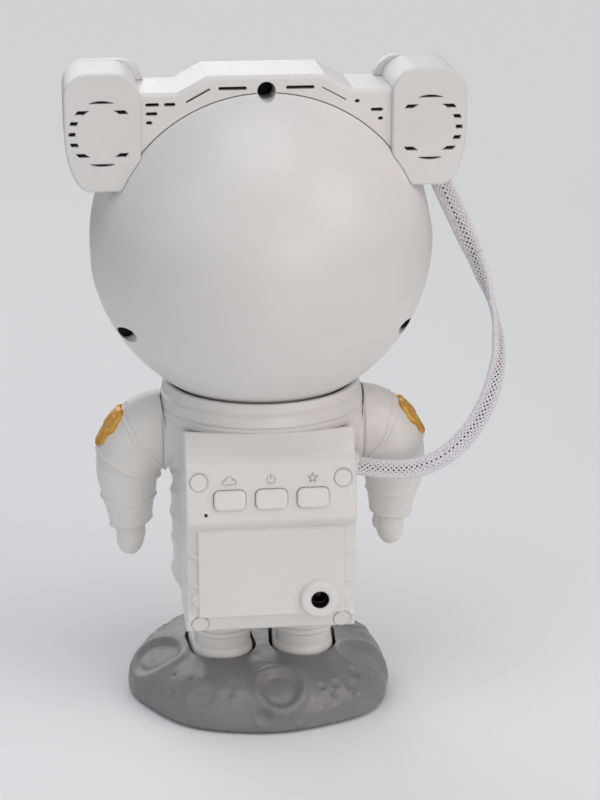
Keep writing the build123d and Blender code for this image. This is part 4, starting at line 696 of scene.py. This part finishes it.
def moon_radius(angle):
    return BASE_R * (1 + sum(size * sin(waves * angle + phase) for size, waves, phase in LOBES))


def moon_height(x, y):
    """Height of the plain mound over a place, in mm."""
    share = hypot(x, y - BASE_Y) / moon_radius(atan2(y - BASE_Y, x))
    rise = (1 - min(share, 1.0) ** MOUND_FLAT) ** (1 / MOUND_EDGE)
    return BASE_LOW + (MOUND_TOP - BASE_LOW) * rise


def moon_relief(place, normal):
    """How far the ground stands proud of the plain mound at a place: craters, pits and humps."""
    if normal.z < -0.2:
        return 0.0
    lift = sum(size * noise.noise(place * pace) for size, pace in UNEVEN)
    for at_x, at_y, radius, depth, lip, floor, stretch in PITS:
        x, y = place.x - at_x, place.y - at_y
        if abs(x) > 2.2 * radius * stretch or abs(y) > 2.2 * radius:
            continue
        away = Vector((x / stretch, y, place.z - moon_height(at_x, at_y))).length / radius
        if away < 1:
            lift -= depth * ease((1 - away) / (1 - floor))
        lift += lip * exp(-(((away - 1.1) / 0.2) ** 2))
    for at_x, at_y, radius, rise in HUMPS:
        x, y = place.x - at_x, place.y - at_y
        if abs(x) < 2.5 * radius and abs(y) < 2.5 * radius:
            away = Vector((x, y, place.z - moon_height(at_x, at_y))).length / radius
            lift += rise * exp(-away * away * 1.3)
    return lift * ease((place.z - BASE_LOW) / 3.0)


def boot_outline(grow, count=96):
    """Outline round a boot, the hull of heel and toe rounds, grown outwards."""
    radius = BOOT_R + grow
    points = []
    for angle in circle(count):
        c, s = cos(angle), sin(angle)
        centre = max((BOOT_HEEL, BOOT_TOE), key=lambda p: p[0] * c + p[1] * s)
        points.append((centre[0] + radius * c, centre[1] + radius * s))
    return points


def moon_rings():
    """Rings from the cover's recess round the rim and up to the middle of the mound."""
    around = circle(MOON_AROUND)

    def ring(share, height=None):
        points = []
        for angle in around:
            radius = moon_radius(angle) * share
            x, y = radius * cos(angle), BASE_Y + radius * sin(angle)
            points.append(mm(x, y, moon_height(x, y) if height is None else height))
        return points

    def flat(radius, height):
        return [mm(radius * cos(a), BASE_Y + radius * sin(a), height) for a in around]

    rings = [flat(2, COVER_SEAT), flat(COVER_R, COVER_SEAT), flat(COVER_R, BASE_LOW + 0.1)]
    rings += [flat(COVER_R + 0.1, BASE_LOW), ring(0.985, BASE_LOW)]
    climb = [i / 36 for i in range(1, 34)]
    shares = [(1 - part**2.4) ** (1 / MOUND_FLAT) for part in climb]
    shares += [shares[-1] * i / 84 for i in range(83, 0, -1)]
    rings += [ring(share) for share in shares]
    return rings


moon = skin(moon_rings())
carve(moon, moon_relief)
for side in (1, -1):
    outline = [(side * x, y) for x, y in boot_outline(SOCKET_GAP)]
    socket = skin([[mm(x, y, z) for x, y in outline] for z in (SOCKET_FLOOR, MOUND_TOP + 4)])
    combine(moon, "DIFFERENCE", socket)
complete(moon, "moon_ground", moon_grey, "base", "moon_base", angle=35)

# ---------------------------------------------------------------- trunk and arms

# Centre x, y, z, tilt of the section below the horizontal, half depth, half height
ARM = (
    (26.0, 0.0, 100.8, 0.0, 11.5, 14.5),
    (37.0, 0.0, 99.3, 18.0, 11.8, 13.6),
    (44.0, -0.2, 94.2, 47.0, 11.8, 12.0),
    (46.6, -0.8, 85.5, 80.0, 11.4, 10.9),
    (46.2, -1.8, 75.0, 92.0, 9.6, 9.0),
    (45.6, -3.0, 64.5, 93.0, 7.1, 6.8),
)
ARM_JOIN = 34.4            # x of the arm's flat joint against the trunk
JOIN_GROOVE = (0.75, 0.32, 78.0)   # depth, half width and lowest height of the groove there
ARM_PUFF = 0.5             # how uneven the sleeve is
SLEEVE_START = 0.64        # the sleeve's first section, just inside the joint
SLEEVE_RINGS = 200
SLEEVE_AROUND = 144
# Seams round the sleeve: height, half width, height of the fold over it, then its place along the
# arm in rows of ARM, at each of the angles
SEAM_ANGLES = (90, 60, 30, 0, -30, -60, -90)
ARM_SEAMS = (
    (0.40, 0.42, 0.0, (1.35, 1.46, 1.45, 1.54, 1.42, 1.22, 1.15)),
    (0.42, 0.42, 0.0, (1.50, 1.62, 1.63, 1.72, 1.50, 1.26, 1.18)),
    (0.40, 0.50, 0.66, (2.62, 2.65, 2.70, 2.80, 2.88, 2.90, 2.92)),
    (0.62, 0.60, 0.0, (3.86, 3.91, 3.97, 3.98, 3.95, 3.90, 3.88)),
    (0.42, 0.50, 0.12, (4.90, 4.86, 4.82, 4.78, 4.74, 4.70, 4.68)),
)
SLEEVE_END = (4.98, 4.95, 4.92, 4.88, 4.83, 4.78, 4.76)
# Centre x, y, z, radius
GLOVE = (
    (45.6, -3.1, 67.0, 4.6), (45.7, -3.2, 63.5, 5.15), (45.8, -3.6, 60.5, 5.35),
    (46.0, -3.9, 57.5, 5.0), (46.1, -4.0, 55.2, 4.05), (46.1, -4.0, 53.7, 2.7),
    (46.1, -4.0, 52.95, 1.2),
)
GLOVE_OVAL = (0.94, 1.04)  # width and depth of the glove for its radius
GLOVE_VOXEL = 0.3
THUMB = (42.6, -8.2, 60.6, 2.4)
THUMB_TURN = -14


def arm_place(at, angle):
    """Point on the plain sleeve in mm, at a place along it and an angle in degrees round it."""
    x, y, z, tilt, half_depth, half_height = flow(ARM, at)
    up = Vector((sin(radians(tilt)), 0, cos(radians(tilt))))
    a = radians(angle)
    return Vector((x, y, z)) + Vector((0, cos(a), 0)) * half_depth + up * half_height * sin(a)


def seam_place(places, angle):
    """Place of a seam along the arm at an angle; the front mirrors the back."""
    angle = (angle + 180) % 360 - 180
    if angle > 90:
        angle = 180 - angle
    elif angle < -90:
        angle = -180 - angle
    step = SEAM_ANGLES[0] - SEAM_ANGLES[1]
    return flow([(place,) for place in places], (SEAM_ANGLES[0] - angle) / step)[0]


def arm_point(at, angle, lean):
    """Point on the sleeve with its seams, folds and the groove of its joint, in metres."""
    place = arm_place(at, angle)
    before, after = max(at - 0.02, 0), min(at + 0.02, len(ARM) - 1)
    along = arm_place(after, angle) - arm_place(before, angle)
    around = arm_place(at, angle + 2) - arm_place(at, angle - 2)
    normal = around.cross(along).normalized()
    pace = along.length / (after - before)
    lift = 0.0
    for height, half, fold, places in ARM_SEAMS:
        away = (at - seam_place(places, angle) + lean * sin(radians(angle))) * pace
        lift += height * exp(-((away / half) ** 2))
        if fold and away < 0:
            lift += fold * exp(away / 3.2)
        elif fold:
            lift += fold * exp(-((away / 0.28) ** 2))
    lift += ARM_PUFF * noise.noise(Vector((place.x * 0.07, place.y * 0.11, place.z * 0.13 + 7)))
    depth, half, lowest = JOIN_GROOVE
    if place.z > lowest:
        lift -= depth * exp(-(((place.x - ARM_JOIN) / half) ** 2))
    return (place + normal * lift) * MM


def sleeve_skin(lean):
    rings = []
    for i in range(SLEEVE_RINGS + 1):
        ring = []
        for k in range(SLEEVE_AROUND):
            angle = k * 360 / SLEEVE_AROUND
            at = SLEEVE_START + i / SLEEVE_RINGS * (seam_place(SLEEVE_END, angle) - SLEEVE_START)
            ring.append(arm_point(at, angle, lean))
        rings.append(ring)
    cuff = rings[-1]
    middle = sum(cuff, Vector()) / len(cuff)
    for grow, drop in ((0.97, 0.28), (0.9, 0.42), (0.8, 0.42)):
        rings.append([middle + (point - middle) * grow - mm(0, 0, drop) for point in cuff])
    return skin(rings)


def glove_form():
    """Hand and thumb, grown together."""
    wide, deep = GLOVE_OVAL
    rings = []
    for i in range(37):
        x, y, z, radius = flow(GLOVE, i / 6)
        rings.append(
            [mm(x + radius * wide * cos(a), y + radius * deep * sin(a), z) for a in circle(64)]
        )
    glove = skin(rings)
    deselect()
    bpy.ops.mesh.primitive_uv_sphere_add(
        segments=32, ring_count=20, radius=THUMB[3] * MM, location=mm(*THUMB[:3]),
        scale=(0.95, 1.0, 1.55),
    )
    thumb = bpy.context.active_object
    bpy.ops.transform.rotate(
        value=radians(THUMB_TURN), orient_axis="Y", center_override=thumb.location
    )
    pick(thumb)
    bpy.ops.object.transform_apply(location=True, rotation=True, scale=True)
    glove = joined(glove, thumb)
    modify(glove, "REMESH", mode="VOXEL", voxel_size=GLOVE_VOXEL * MM)
    modify(glove, "SMOOTH", factor=0.5, iterations=8)
    return glove


def arm(side, name, lean):
    whole = joined(sleeve_skin(lean), glove_form())
    if side < 0:
        twin = mirrored(whole)
        bpy.data.objects.remove(whole)
        whole = twin
    complete(whole, f"{name}_sleeve", suit_white, "figure", f"{name}_arm", angle=50)


# Side, name, how far the seams lean round the sleeve
for side, name, lean in ((1, "left", 0.0), (-1, "right", 0.13)):
    arm(side, name, lean)

# Trunk: height, half width, half depth
TRUNK = (
    (35.0, 24.6, 17.0), (39.0, 28.2, 20.0), (50.0, 31.2, 22.5), (70.0, 31.8, 23.5),
    (90.0, 32.2, 24.5), (100.0, 33.8, 28.0), (107.0, 34.2, 32.5),
)
TRUNK_LOW = 35.5           # the folds end here
TRUNK_HIGH = 106.5
TRUNK_VOXEL = 0.75
HALF_GAP = 0.125           # half the line between the two halves


def trunk_rings():
    rings = []
    for i in range(91):
        z, half_width, half_depth = flow(TRUNK, i / 15)
        rings.append([mm(half_width * cos(a), half_depth * sin(a), z) for a in circle(180)])
    return rings


# Root of the arm on the trunk: distance out from the middle, flare, highest point inside the collar
STUB = (
    (20.0, 1.25, TRUNK_HIGH), (25.0, 1.18, TRUNK_HIGH), (28.0, 1.13, TRUNK_HIGH),
    (30.5, 1.08, TRUNK_HIGH), (32.5, 1.03, 111.0), (34.1, 1.0, 116.0),
)


def shoulder_stub():
    """Short root of the left arm that the trunk carries, flared where it runs into the trunk."""
    rings = []
    for x, flare, ceiling in STUB:
        at = max(0.0, (x - ARM[0][0]) / (ARM[1][0] - ARM[0][0]))
        ring = []
        for k in range(96):
            place = arm_place(at, k * 3.75)
            y, z = place.y * flare, ARM[0][2] + (place.z - ARM[0][2]) * flare
            ring.append(mm(x, y, min(z, ceiling)))
        rings.append(ring)
    return skin(rings)


def trunk_folds(place, normal):
    """Creases pressed into the suit, running round the trunk and fading towards neck and arms."""
    x, y, z = place
    joint = ease((34.0 - abs(x)) / 3.0) if z > 82 else 1.0
    room = joint * ease((TRUNK_HIGH - z) / 4) * ease((z - TRUNK_LOW) / 3)
    wave = noise.noise(Vector((x * 0.035, y * 0.035, z * 0.105 + 3)))
    small = noise.noise(Vector((x * 0.05, y * 0.05, z * 0.21 + 11)))
    crest = max(0.0, 1 - abs(wave) * 3.0)
    second = max(0.0, 1 - abs(small) * 4.5)
    broad = noise.noise(Vector((x * 0.02, y * 0.03, z * 0.052 + 20)))
    return room * (0.85 * crest * crest * crest + 0.35 * second * second + 1.5 * broad - 0.3)


trunk = skin(trunk_rings())
stub = shoulder_stub()
trunk = joined(trunk, stub, mirrored(stub))
modify(trunk, "REMESH", mode="VOXEL", voxel_size=TRUNK_VOXEL * MM)
modify(trunk, "SMOOTH", factor=0.5, iterations=10)
carve(trunk, trunk_folds)
for sign, name in ((1, "rear"), (-1, "front")):
    half = duplicate(trunk)
    pick(half)
    bpy.ops.object.mode_set(mode="EDIT")
    bpy.ops.mesh.select_all(action="SELECT")
    bpy.ops.mesh.bisect(
        plane_co=mm(0, sign * HALF_GAP, 0), plane_no=(0, sign, 0), use_fill=True, clear_inner=True
    )
    bpy.ops.mesh.select_all(action="SELECT")
    bpy.ops.mesh.normals_make_consistent(inside=False)
    bpy.ops.object.mode_set(mode="OBJECT")
    complete(half, f"trunk_{name}", suit_white, "figure", f"torso_{name}", angle=50)
bpy.data.objects.remove(trunk)

# ---------------------------------------------------------------- gold shoulder patches

# Outline: distance from the middle in mm at each step of 22.5 degrees, from the back edge upwards
PATCH_OUTLINE = (7.3, 7.7, 8.2, 7.8, 7.2, 8.0, 8.6, 7.6, 7.0, 7.4, 8.0, 8.2, 8.3, 8.1, 7.5, 6.9)
PATCH_AT = 2.0             # place of its middle along the arm, in rows of ARM
PATCH_PACE = 15.0          # mm along the sleeve for each row of ARM
PATCH_ROUND = 13.2         # radius of the sleeve there, round its section
PATCH_RINGS = 48


def patch_radius(angle):
    count = len(PATCH_OUTLINE)
    step = (angle / (2 * pi) * count) % count
    i = int(step)
    ahead = PATCH_OUTLINE[(i + 1) % count]
    near = PATCH_OUTLINE[i] + (ahead - PATCH_OUTLINE[i]) * ease(step - i)
    return near + 0.35 * sin(7 * angle + 1.0)


def patch_point(across, down, lift):
    """Point over the sleeve, from distances in mm round it and along it."""
    at = min(max(PATCH_AT + down / PATCH_PACE, 1.0), 3.4)
    angle = 90 - degrees(across / PATCH_ROUND)
    place = arm_place(at, angle)
    along = arm_place(at + 0.02, angle) - arm_place(at - 0.02, angle)
    around = arm_place(at, angle + 2) - arm_place(at, angle - 2)
    return (place + around.cross(along).normalized() * lift) * MM


def patch_lift(x, y, share):
    """Height of the beaten surface, rounded at its edge."""
    edge = sqrt(max(0.0, 1 - max(0.0, (share - 0.8) / 0.2) ** 2))
    lumps = noise.noise(Vector((x * 0.24, y * 0.24, 2)))
    lumps += 0.5 * noise.noise(Vector((x * 0.5, y * 0.5, 5)))
    return 0.3 + edge * (0.95 + 0.6 * lumps)


def patch_rings():
    around = circle(128)

    def ring(share, lift=None):
        points = []
        for a in around:
            x, y = patch_radius(a) * share * cos(a), -patch_radius(a) * share * sin(a)
            points.append(patch_point(x, y, patch_lift(x, y, share) if lift is None else lift))
        return points

    return [ring(1.0, -0.6)] + [ring(1 - i / PATCH_RINGS) for i in range(PATCH_RINGS)]


gold = Finish("gold_patch", Metallic=0.6, Coat_Weight=0.15)
gold_tone = gold.speckle(380, 4.0)
gold.colour(gold.blend(gold.spread(gold_tone, 0, 1), linear(218, 168, 66), linear(190, 134, 46)))
gold.rough(gold.spread(gold.speckle(700), 0.38, 0.55))
gold.relief(gold.speckle(900, 4.0), 0.00012, 0.5)
patch = skin(patch_rings())
for piece, name in ((mirrored(patch), "right"), (patch, "left")):
    complete(piece, f"{name}_gold_patch", gold, "figure", f"{name}_shoulder_patch", angle=60)

# ---------------------------------------------------------------- backpack

PACK_HALF = 28.8
PACK_LOW = 37.2
PACK_FOLD_Z = 97.6
PACK_TOP = 107.8
PACK_TOP_RISE = 1.0        # how much higher the top edge is at its middle
PACK_RIM_Y = 4.0
# Height and depth of the back face from foot to top
PACK_PROFILE = (
    (PACK_LOW, 32.0), (43.4, 34.2), (74.8, 34.2), (77.6, 36.0), (PACK_FOLD_Z, 33.0),
    (99.1, 31.0), (PACK_TOP, 28.6),
)
PACK_HUG = 7.4             # how much further back the top edge runs at its middle, round the collar
PACK_CORNER = 1.1
PACK_SLOPE = (96.0, 0.75)  # from what height the top face slopes down to the front, and how much
PACK_WALL = (2.2, 2.3)     # side, back
PACK_HOLLOW = (39.4, 44.0, 74.0, 78.0, 96.4)
POCKET = (25.0, 43.4, 74.6, 1.4)   # half width, foot, top, height
PROUD = 0.95               # height of the ribs and studs
RIBS = (65.5, 55.0)
RIB_HALF = 0.95
RIB_REACH = 28.0
STUD = (24.9, 49.8, 2.75)  # x, z, radius
SIDE_CHANNEL = 1.1         # depth of the channels beside the pocket
PANEL_TILT = 8.53
PANEL_ORIGIN = (34.83, 85.4)       # depth and height of the buttons' middle
BUTTONS = (-14.0, 0.0, 14.0)
BUTTON_HOLE = (5.5, 3.55, 2.15)    # half width, half height, corner
MICROPHONE = (22, -4.9, 0.6)       # x, place up the panel, radius
CAPS = [(x, z) for x in (-24.2, 24.2) for z in (91.6, 40.4)]
CAP_R = 2.97
CAP_GROOVE = (0.35, 3.15, 0.28)    # depth, radius, half width
INLET = (-16.2, 49.2)
INLET_R = 3.1
BARREL_R = (2.85, 3.05)
# Rings of the inlet's boss: radius, depth
BOSS = (
    (6.95, 33.0), (6.95, 35.3), (6.6, 36.9), (6.3, 37.4), (5.8, 37.68), (5.2, 37.7), (3.9, 37.7),
    (3.5, 37.62), (3.0, 37.2),
)
GLAND = (20.5, 91, 4.35)           # depth, height and radius of the gland's hole in the right side


def pack_depth(z):
    z = min(max(z, PACK_PROFILE[0][0]), PACK_PROFILE[-1][0])
    for (low, y_low), (high, y_high) in zip(PACK_PROFILE, PACK_PROFILE[1:]):
        if z <= high:
            return y_low + (y_high - y_low) * (z - low) / (high - low)


def pack_top(x):
    return PACK_TOP + PACK_TOP_RISE * (1 - (x / PACK_HALF) ** 2)


def pack_back(x, z):
    """Depth of the backpack's back face: folds, pocket, ribs and studs, with rounded edges."""
    y = sum(pack_depth(z + step) for step in (-0.7, -0.35, 0, 0.35, 0.7)) / 5
    rise = max(0.0, (z - PACK_PROFILE[-2][0]) / (PACK_TOP - PACK_PROFILE[-2][0]))
    y += PACK_HUG * rise * (1 - (x / PACK_HALF) ** 2)
    half, foot, top, height = POCKET
    beside = ease((abs(x) - 24) / 0.6)
    proud = [height * ease(min(half - abs(x), z - foot, top - z) / 0.55 + 0.4)]
    for rib in RIBS:
        reach = ease((RIB_REACH - abs(x)) / 0.6)
        proud.append(PROUD * ease((RIB_HALF - abs(z - rib)) / 0.6) * reach * beside)
    stud_x, stud_z, stud_r = STUD
    proud.append(PROUD * ease((stud_r - hypot(abs(x) - stud_x, z - stud_z)) / 0.6) * beside)
    y += max(proud)
    ends = ease((z - foot + 1) / 1.5) * ease((top + 1 - z) / 1.5)
    y -= SIDE_CHANNEL * ease((abs(x) - half) / 3.4) * ends
    depth, radius, half = CAP_GROOVE
    for cap_x, cap_z in CAPS:
        y -= depth * exp(-(((hypot(x - cap_x, z - cap_z) - radius) / half) ** 2))
    rim = min(PACK_HALF - abs(x), z - PACK_LOW, pack_top(x) - z)
    if rim < PACK_CORNER:
        y -= PACK_CORNER - sqrt(max(0.0, PACK_CORNER**2 - (PACK_CORNER - rim) ** 2))
    return y


def panel_point(x, up, out):
    """Point on the button panel in metres, out along its normal."""
    c, s = cos(radians(PANEL_TILT)), sin(radians(PANEL_TILT))
    return mm(x, PANEL_ORIGIN[0] - up * s + out * c, PANEL_ORIGIN[1] + up * c + out * s)


def round_box(half_w, half_h, corner, steps=8):
    """Outline of a box with round corners."""
    points = []
    for start, sx, sy in ((0, 1, 1), (90, -1, 1), (180, -1, -1), (270, 1, -1)):
        for i in range(steps + 1):
            a = radians(start + 90 * i / steps)
            x, y = sx * (half_w - corner), sy * (half_h - corner)
            points.append((x + corner * cos(a), y + corner * sin(a)))
    return points


def turned(x, z, rows, count=64):
    """Round shape along the depth, through rows of radius and depth."""
    around = circle(count)
    return skin(
        [[mm(x + radius * cos(a), y, z + radius * sin(a)) for a in around] for radius, y in rows]
    )


def rod(x, z, radius, y_back, y_front):
    return turned(x, z, ((radius, y_back), (radius, y_front)))


def pack_block():
    """The backpack as a solid: a grid pressed to the back face, its edge drawn forwards."""
    deselect()
    bpy.ops.mesh.primitive_grid_add(x_subdivisions=190, y_subdivisions=238, size=1)
    block = bpy.context.active_object
    share_fold = (PACK_FOLD_Z - PACK_LOW) / (PACK_TOP - PACK_LOW)
    slope_z, slope = PACK_SLOPE
    for vertex in block.data.vertices:
        x = -2 * vertex.co.x * PACK_HALF
        share = vertex.co.y + 0.5
        z = PACK_LOW + share * (PACK_TOP - PACK_LOW)
        if share > share_fold:
            z = PACK_FOLD_Z + (share - share_fold) / (1 - share_fold) * (pack_top(x) - PACK_FOLD_Z)
        vertex.co = mm(x, pack_back(x, z), z)
    bpy.ops.object.mode_set(mode="EDIT")
    bpy.ops.mesh.select_mode(type="EDGE")
    bpy.ops.mesh.select_all(action="DESELECT")
    bpy.ops.mesh.select_non_manifold()
    bpy.ops.mesh.extrude_region_move()
    form = bmesh.from_edit_mesh(block.data)
    for vertex in form.verts:
        if vertex.select:
            vertex.co.y = PACK_RIM_Y * MM
            vertex.co.z -= slope * max(0.0, vertex.co.z - slope_z * MM)
    bmesh.update_edit_mesh(block.data)
    bpy.ops.mesh.edge_face_add()
    bpy.ops.mesh.select_all(action="SELECT")
    bpy.ops.mesh.normals_make_consistent(inside=False)
    bpy.ops.object.mode_set(mode="OBJECT")
    return block


def pack_hollow():
    rings = []
    side_wall, back_wall = PACK_WALL
    half = PACK_HALF - side_wall
    for z in PACK_HOLLOW:
        y = pack_depth(z) - back_wall
        rings.append([mm(-half, 2, z), mm(half, 2, z), mm(half, y, z), mm(-half, y, z)])
    return skin(rings)


def panel_hole(outline):
    """Cutter through the button panel, from an outline of places across and up it."""
    return skin([[panel_point(x, up, out) for x, up in outline] for out in (4, -6)])


def pack_holes():
    """Cutters for the buttons, microphone, inlet, caps and hose gland, as one object."""
    box = round_box(*BUTTON_HOLE)
    holes = [panel_hole([(at + x, up) for x, up in box]) for at in BUTTONS]
    x, up, radius = MICROPHONE
    holes.append(panel_hole([(x + radius * cos(a), up + radius * sin(a)) for a in circle(24)]))
    holes.append(rod(*INLET, INLET_R, 45, 28))
    holes += [rod(x, z, CAP_R, 45, 29) for x, z in CAPS]
    y, z, radius = GLAND
    outline = [(y + radius * cos(a), z + radius * sin(a)) for a in circle(48)]
    holes.append(skin([[mm(x, *place) for place in outline] for x in (-32, -25.9)]))
    return joined(*holes)


pack = pack_block()
combine(pack, "UNION", turned(*INLET, BOSS, 96))
combine(pack, "DIFFERENCE", pack_hollow())
combine(pack, "DIFFERENCE", pack_holes())
complete(pack, "backpack_body", suit_white, "figure", "backpack_shell", angle=32)

bore_r, barrel_r = BARREL_R
barrel = rod(*INLET, barrel_r, 37.1, 33.0)
combine(barrel, "DIFFERENCE", rod(*INLET, bore_r, 38.0, 32.0))
complete(barrel, "inlet_barrel", black, "figure")

# ---------------------------------------------------------------- marks over the buttons

MARK_HALF = (0.24, 0.26)   # half width and half height of the raised line
MARK_UP = 6.7              # place of the marks' middle up the panel
STAR_R = (1.75, 0.75)      # points, notches
POWER_R = 1.4


def bead(name, *lines):
    """Raised mark on the button panel, from lines of (x, up) points in mm."""
    form = bmesh.new()
    normal = (panel_point(0, 0, 1) - panel_point(0, 0, 0)).normalized()
    for line in lines:
        places = [panel_point(x, up, 0.02) for x, up in line]
        strand(form, places, [normal] * len(places), *[size * MM for size in MARK_HALF])
    mark = as_object(form, name)
    complete(mark, name, suit_white, "figure", angle=60)


def arc(x, up, radius, start, end, count=20):
    """Points on an arc between two angles in degrees."""
    angles = [radians(start + (end - start) * i / count) for i in range(count + 1)]
    return [(x + radius * cos(a), up + radius * sin(a)) for a in angles]


def star(x, up):
    points = []
    for i in range(11):
        radius = STAR_R[i % 2]
        points.append((x + radius * sin(pi * i / 5), up + radius * cos(pi * i / 5)))
    return points


def cloud(x, up):
    """Two low bumps and a high one between them, on a flat foot."""
    return (
        arc(x - 1.55, up - 0.6, 0.8, 59, 270)
        + arc(x + 1.55, up - 0.6, 0.8, -90, 121)
        + arc(x, up + 0.3, 1.15, -11, 191)[1:]
    )


star_x, power_x, cloud_x = BUTTONS
bead("star_mark", star(star_x, MARK_UP))
bead(
    "power_mark",
    arc(power_x, MARK_UP, POWER_R, 125, 415),
    [(power_x, MARK_UP + up) for up in (0.2, 1.0, 1.9)],
)
bead("cloud_mark", cloud(cloud_x, MARK_UP))

# ---------------------------------------------------------------- floor

FLOOR_SIZE = 6.0
FLOOR_DROP = 0.0002        # how far it lies under the pad
HAZE = (0.35, 0.95)        # distances over which the floor passes into the haze

table_white = Finish(
    "table_white", Specular_IOR_Level=0.0, Emission_Color=linear(208, 209, 211)
)
away = table_white.add("ShaderNodeVectorMath", {"operation": "LENGTH"}, Vector=table_white.places)
far = table_white.spread(away.outputs["Value"], 0.0, 1.0, *HAZE)
near_colour = table_white.blend(
    table_white.speckle(3), linear(246, 247, 249), linear(242, 243, 245)
)
table_white.colour(table_white.blend(far, near_colour, linear(12, 12, 12)))
table_white.rough(table_white.spread(table_white.speckle(12), 0.62, 0.7))
seen = table_white.add("ShaderNodeLightPath").outputs["Is Camera Ray"]
haze = table_white.add("ShaderNodeMath", {"operation": "MULTIPLY"})
table_white.feed(haze.inputs[0], far)
table_white.feed(haze.inputs[1], seen)
table_white.feed(table_white.shader.inputs["Emission Strength"], haze.outputs["Value"])

deselect()
bpy.ops.mesh.primitive_plane_add(size=FLOOR_SIZE, location=(0, 0, -FLOOR_DROP))
table = bpy.context.active_object
table.name = "table"
table.data.materials.append(table_white.material)
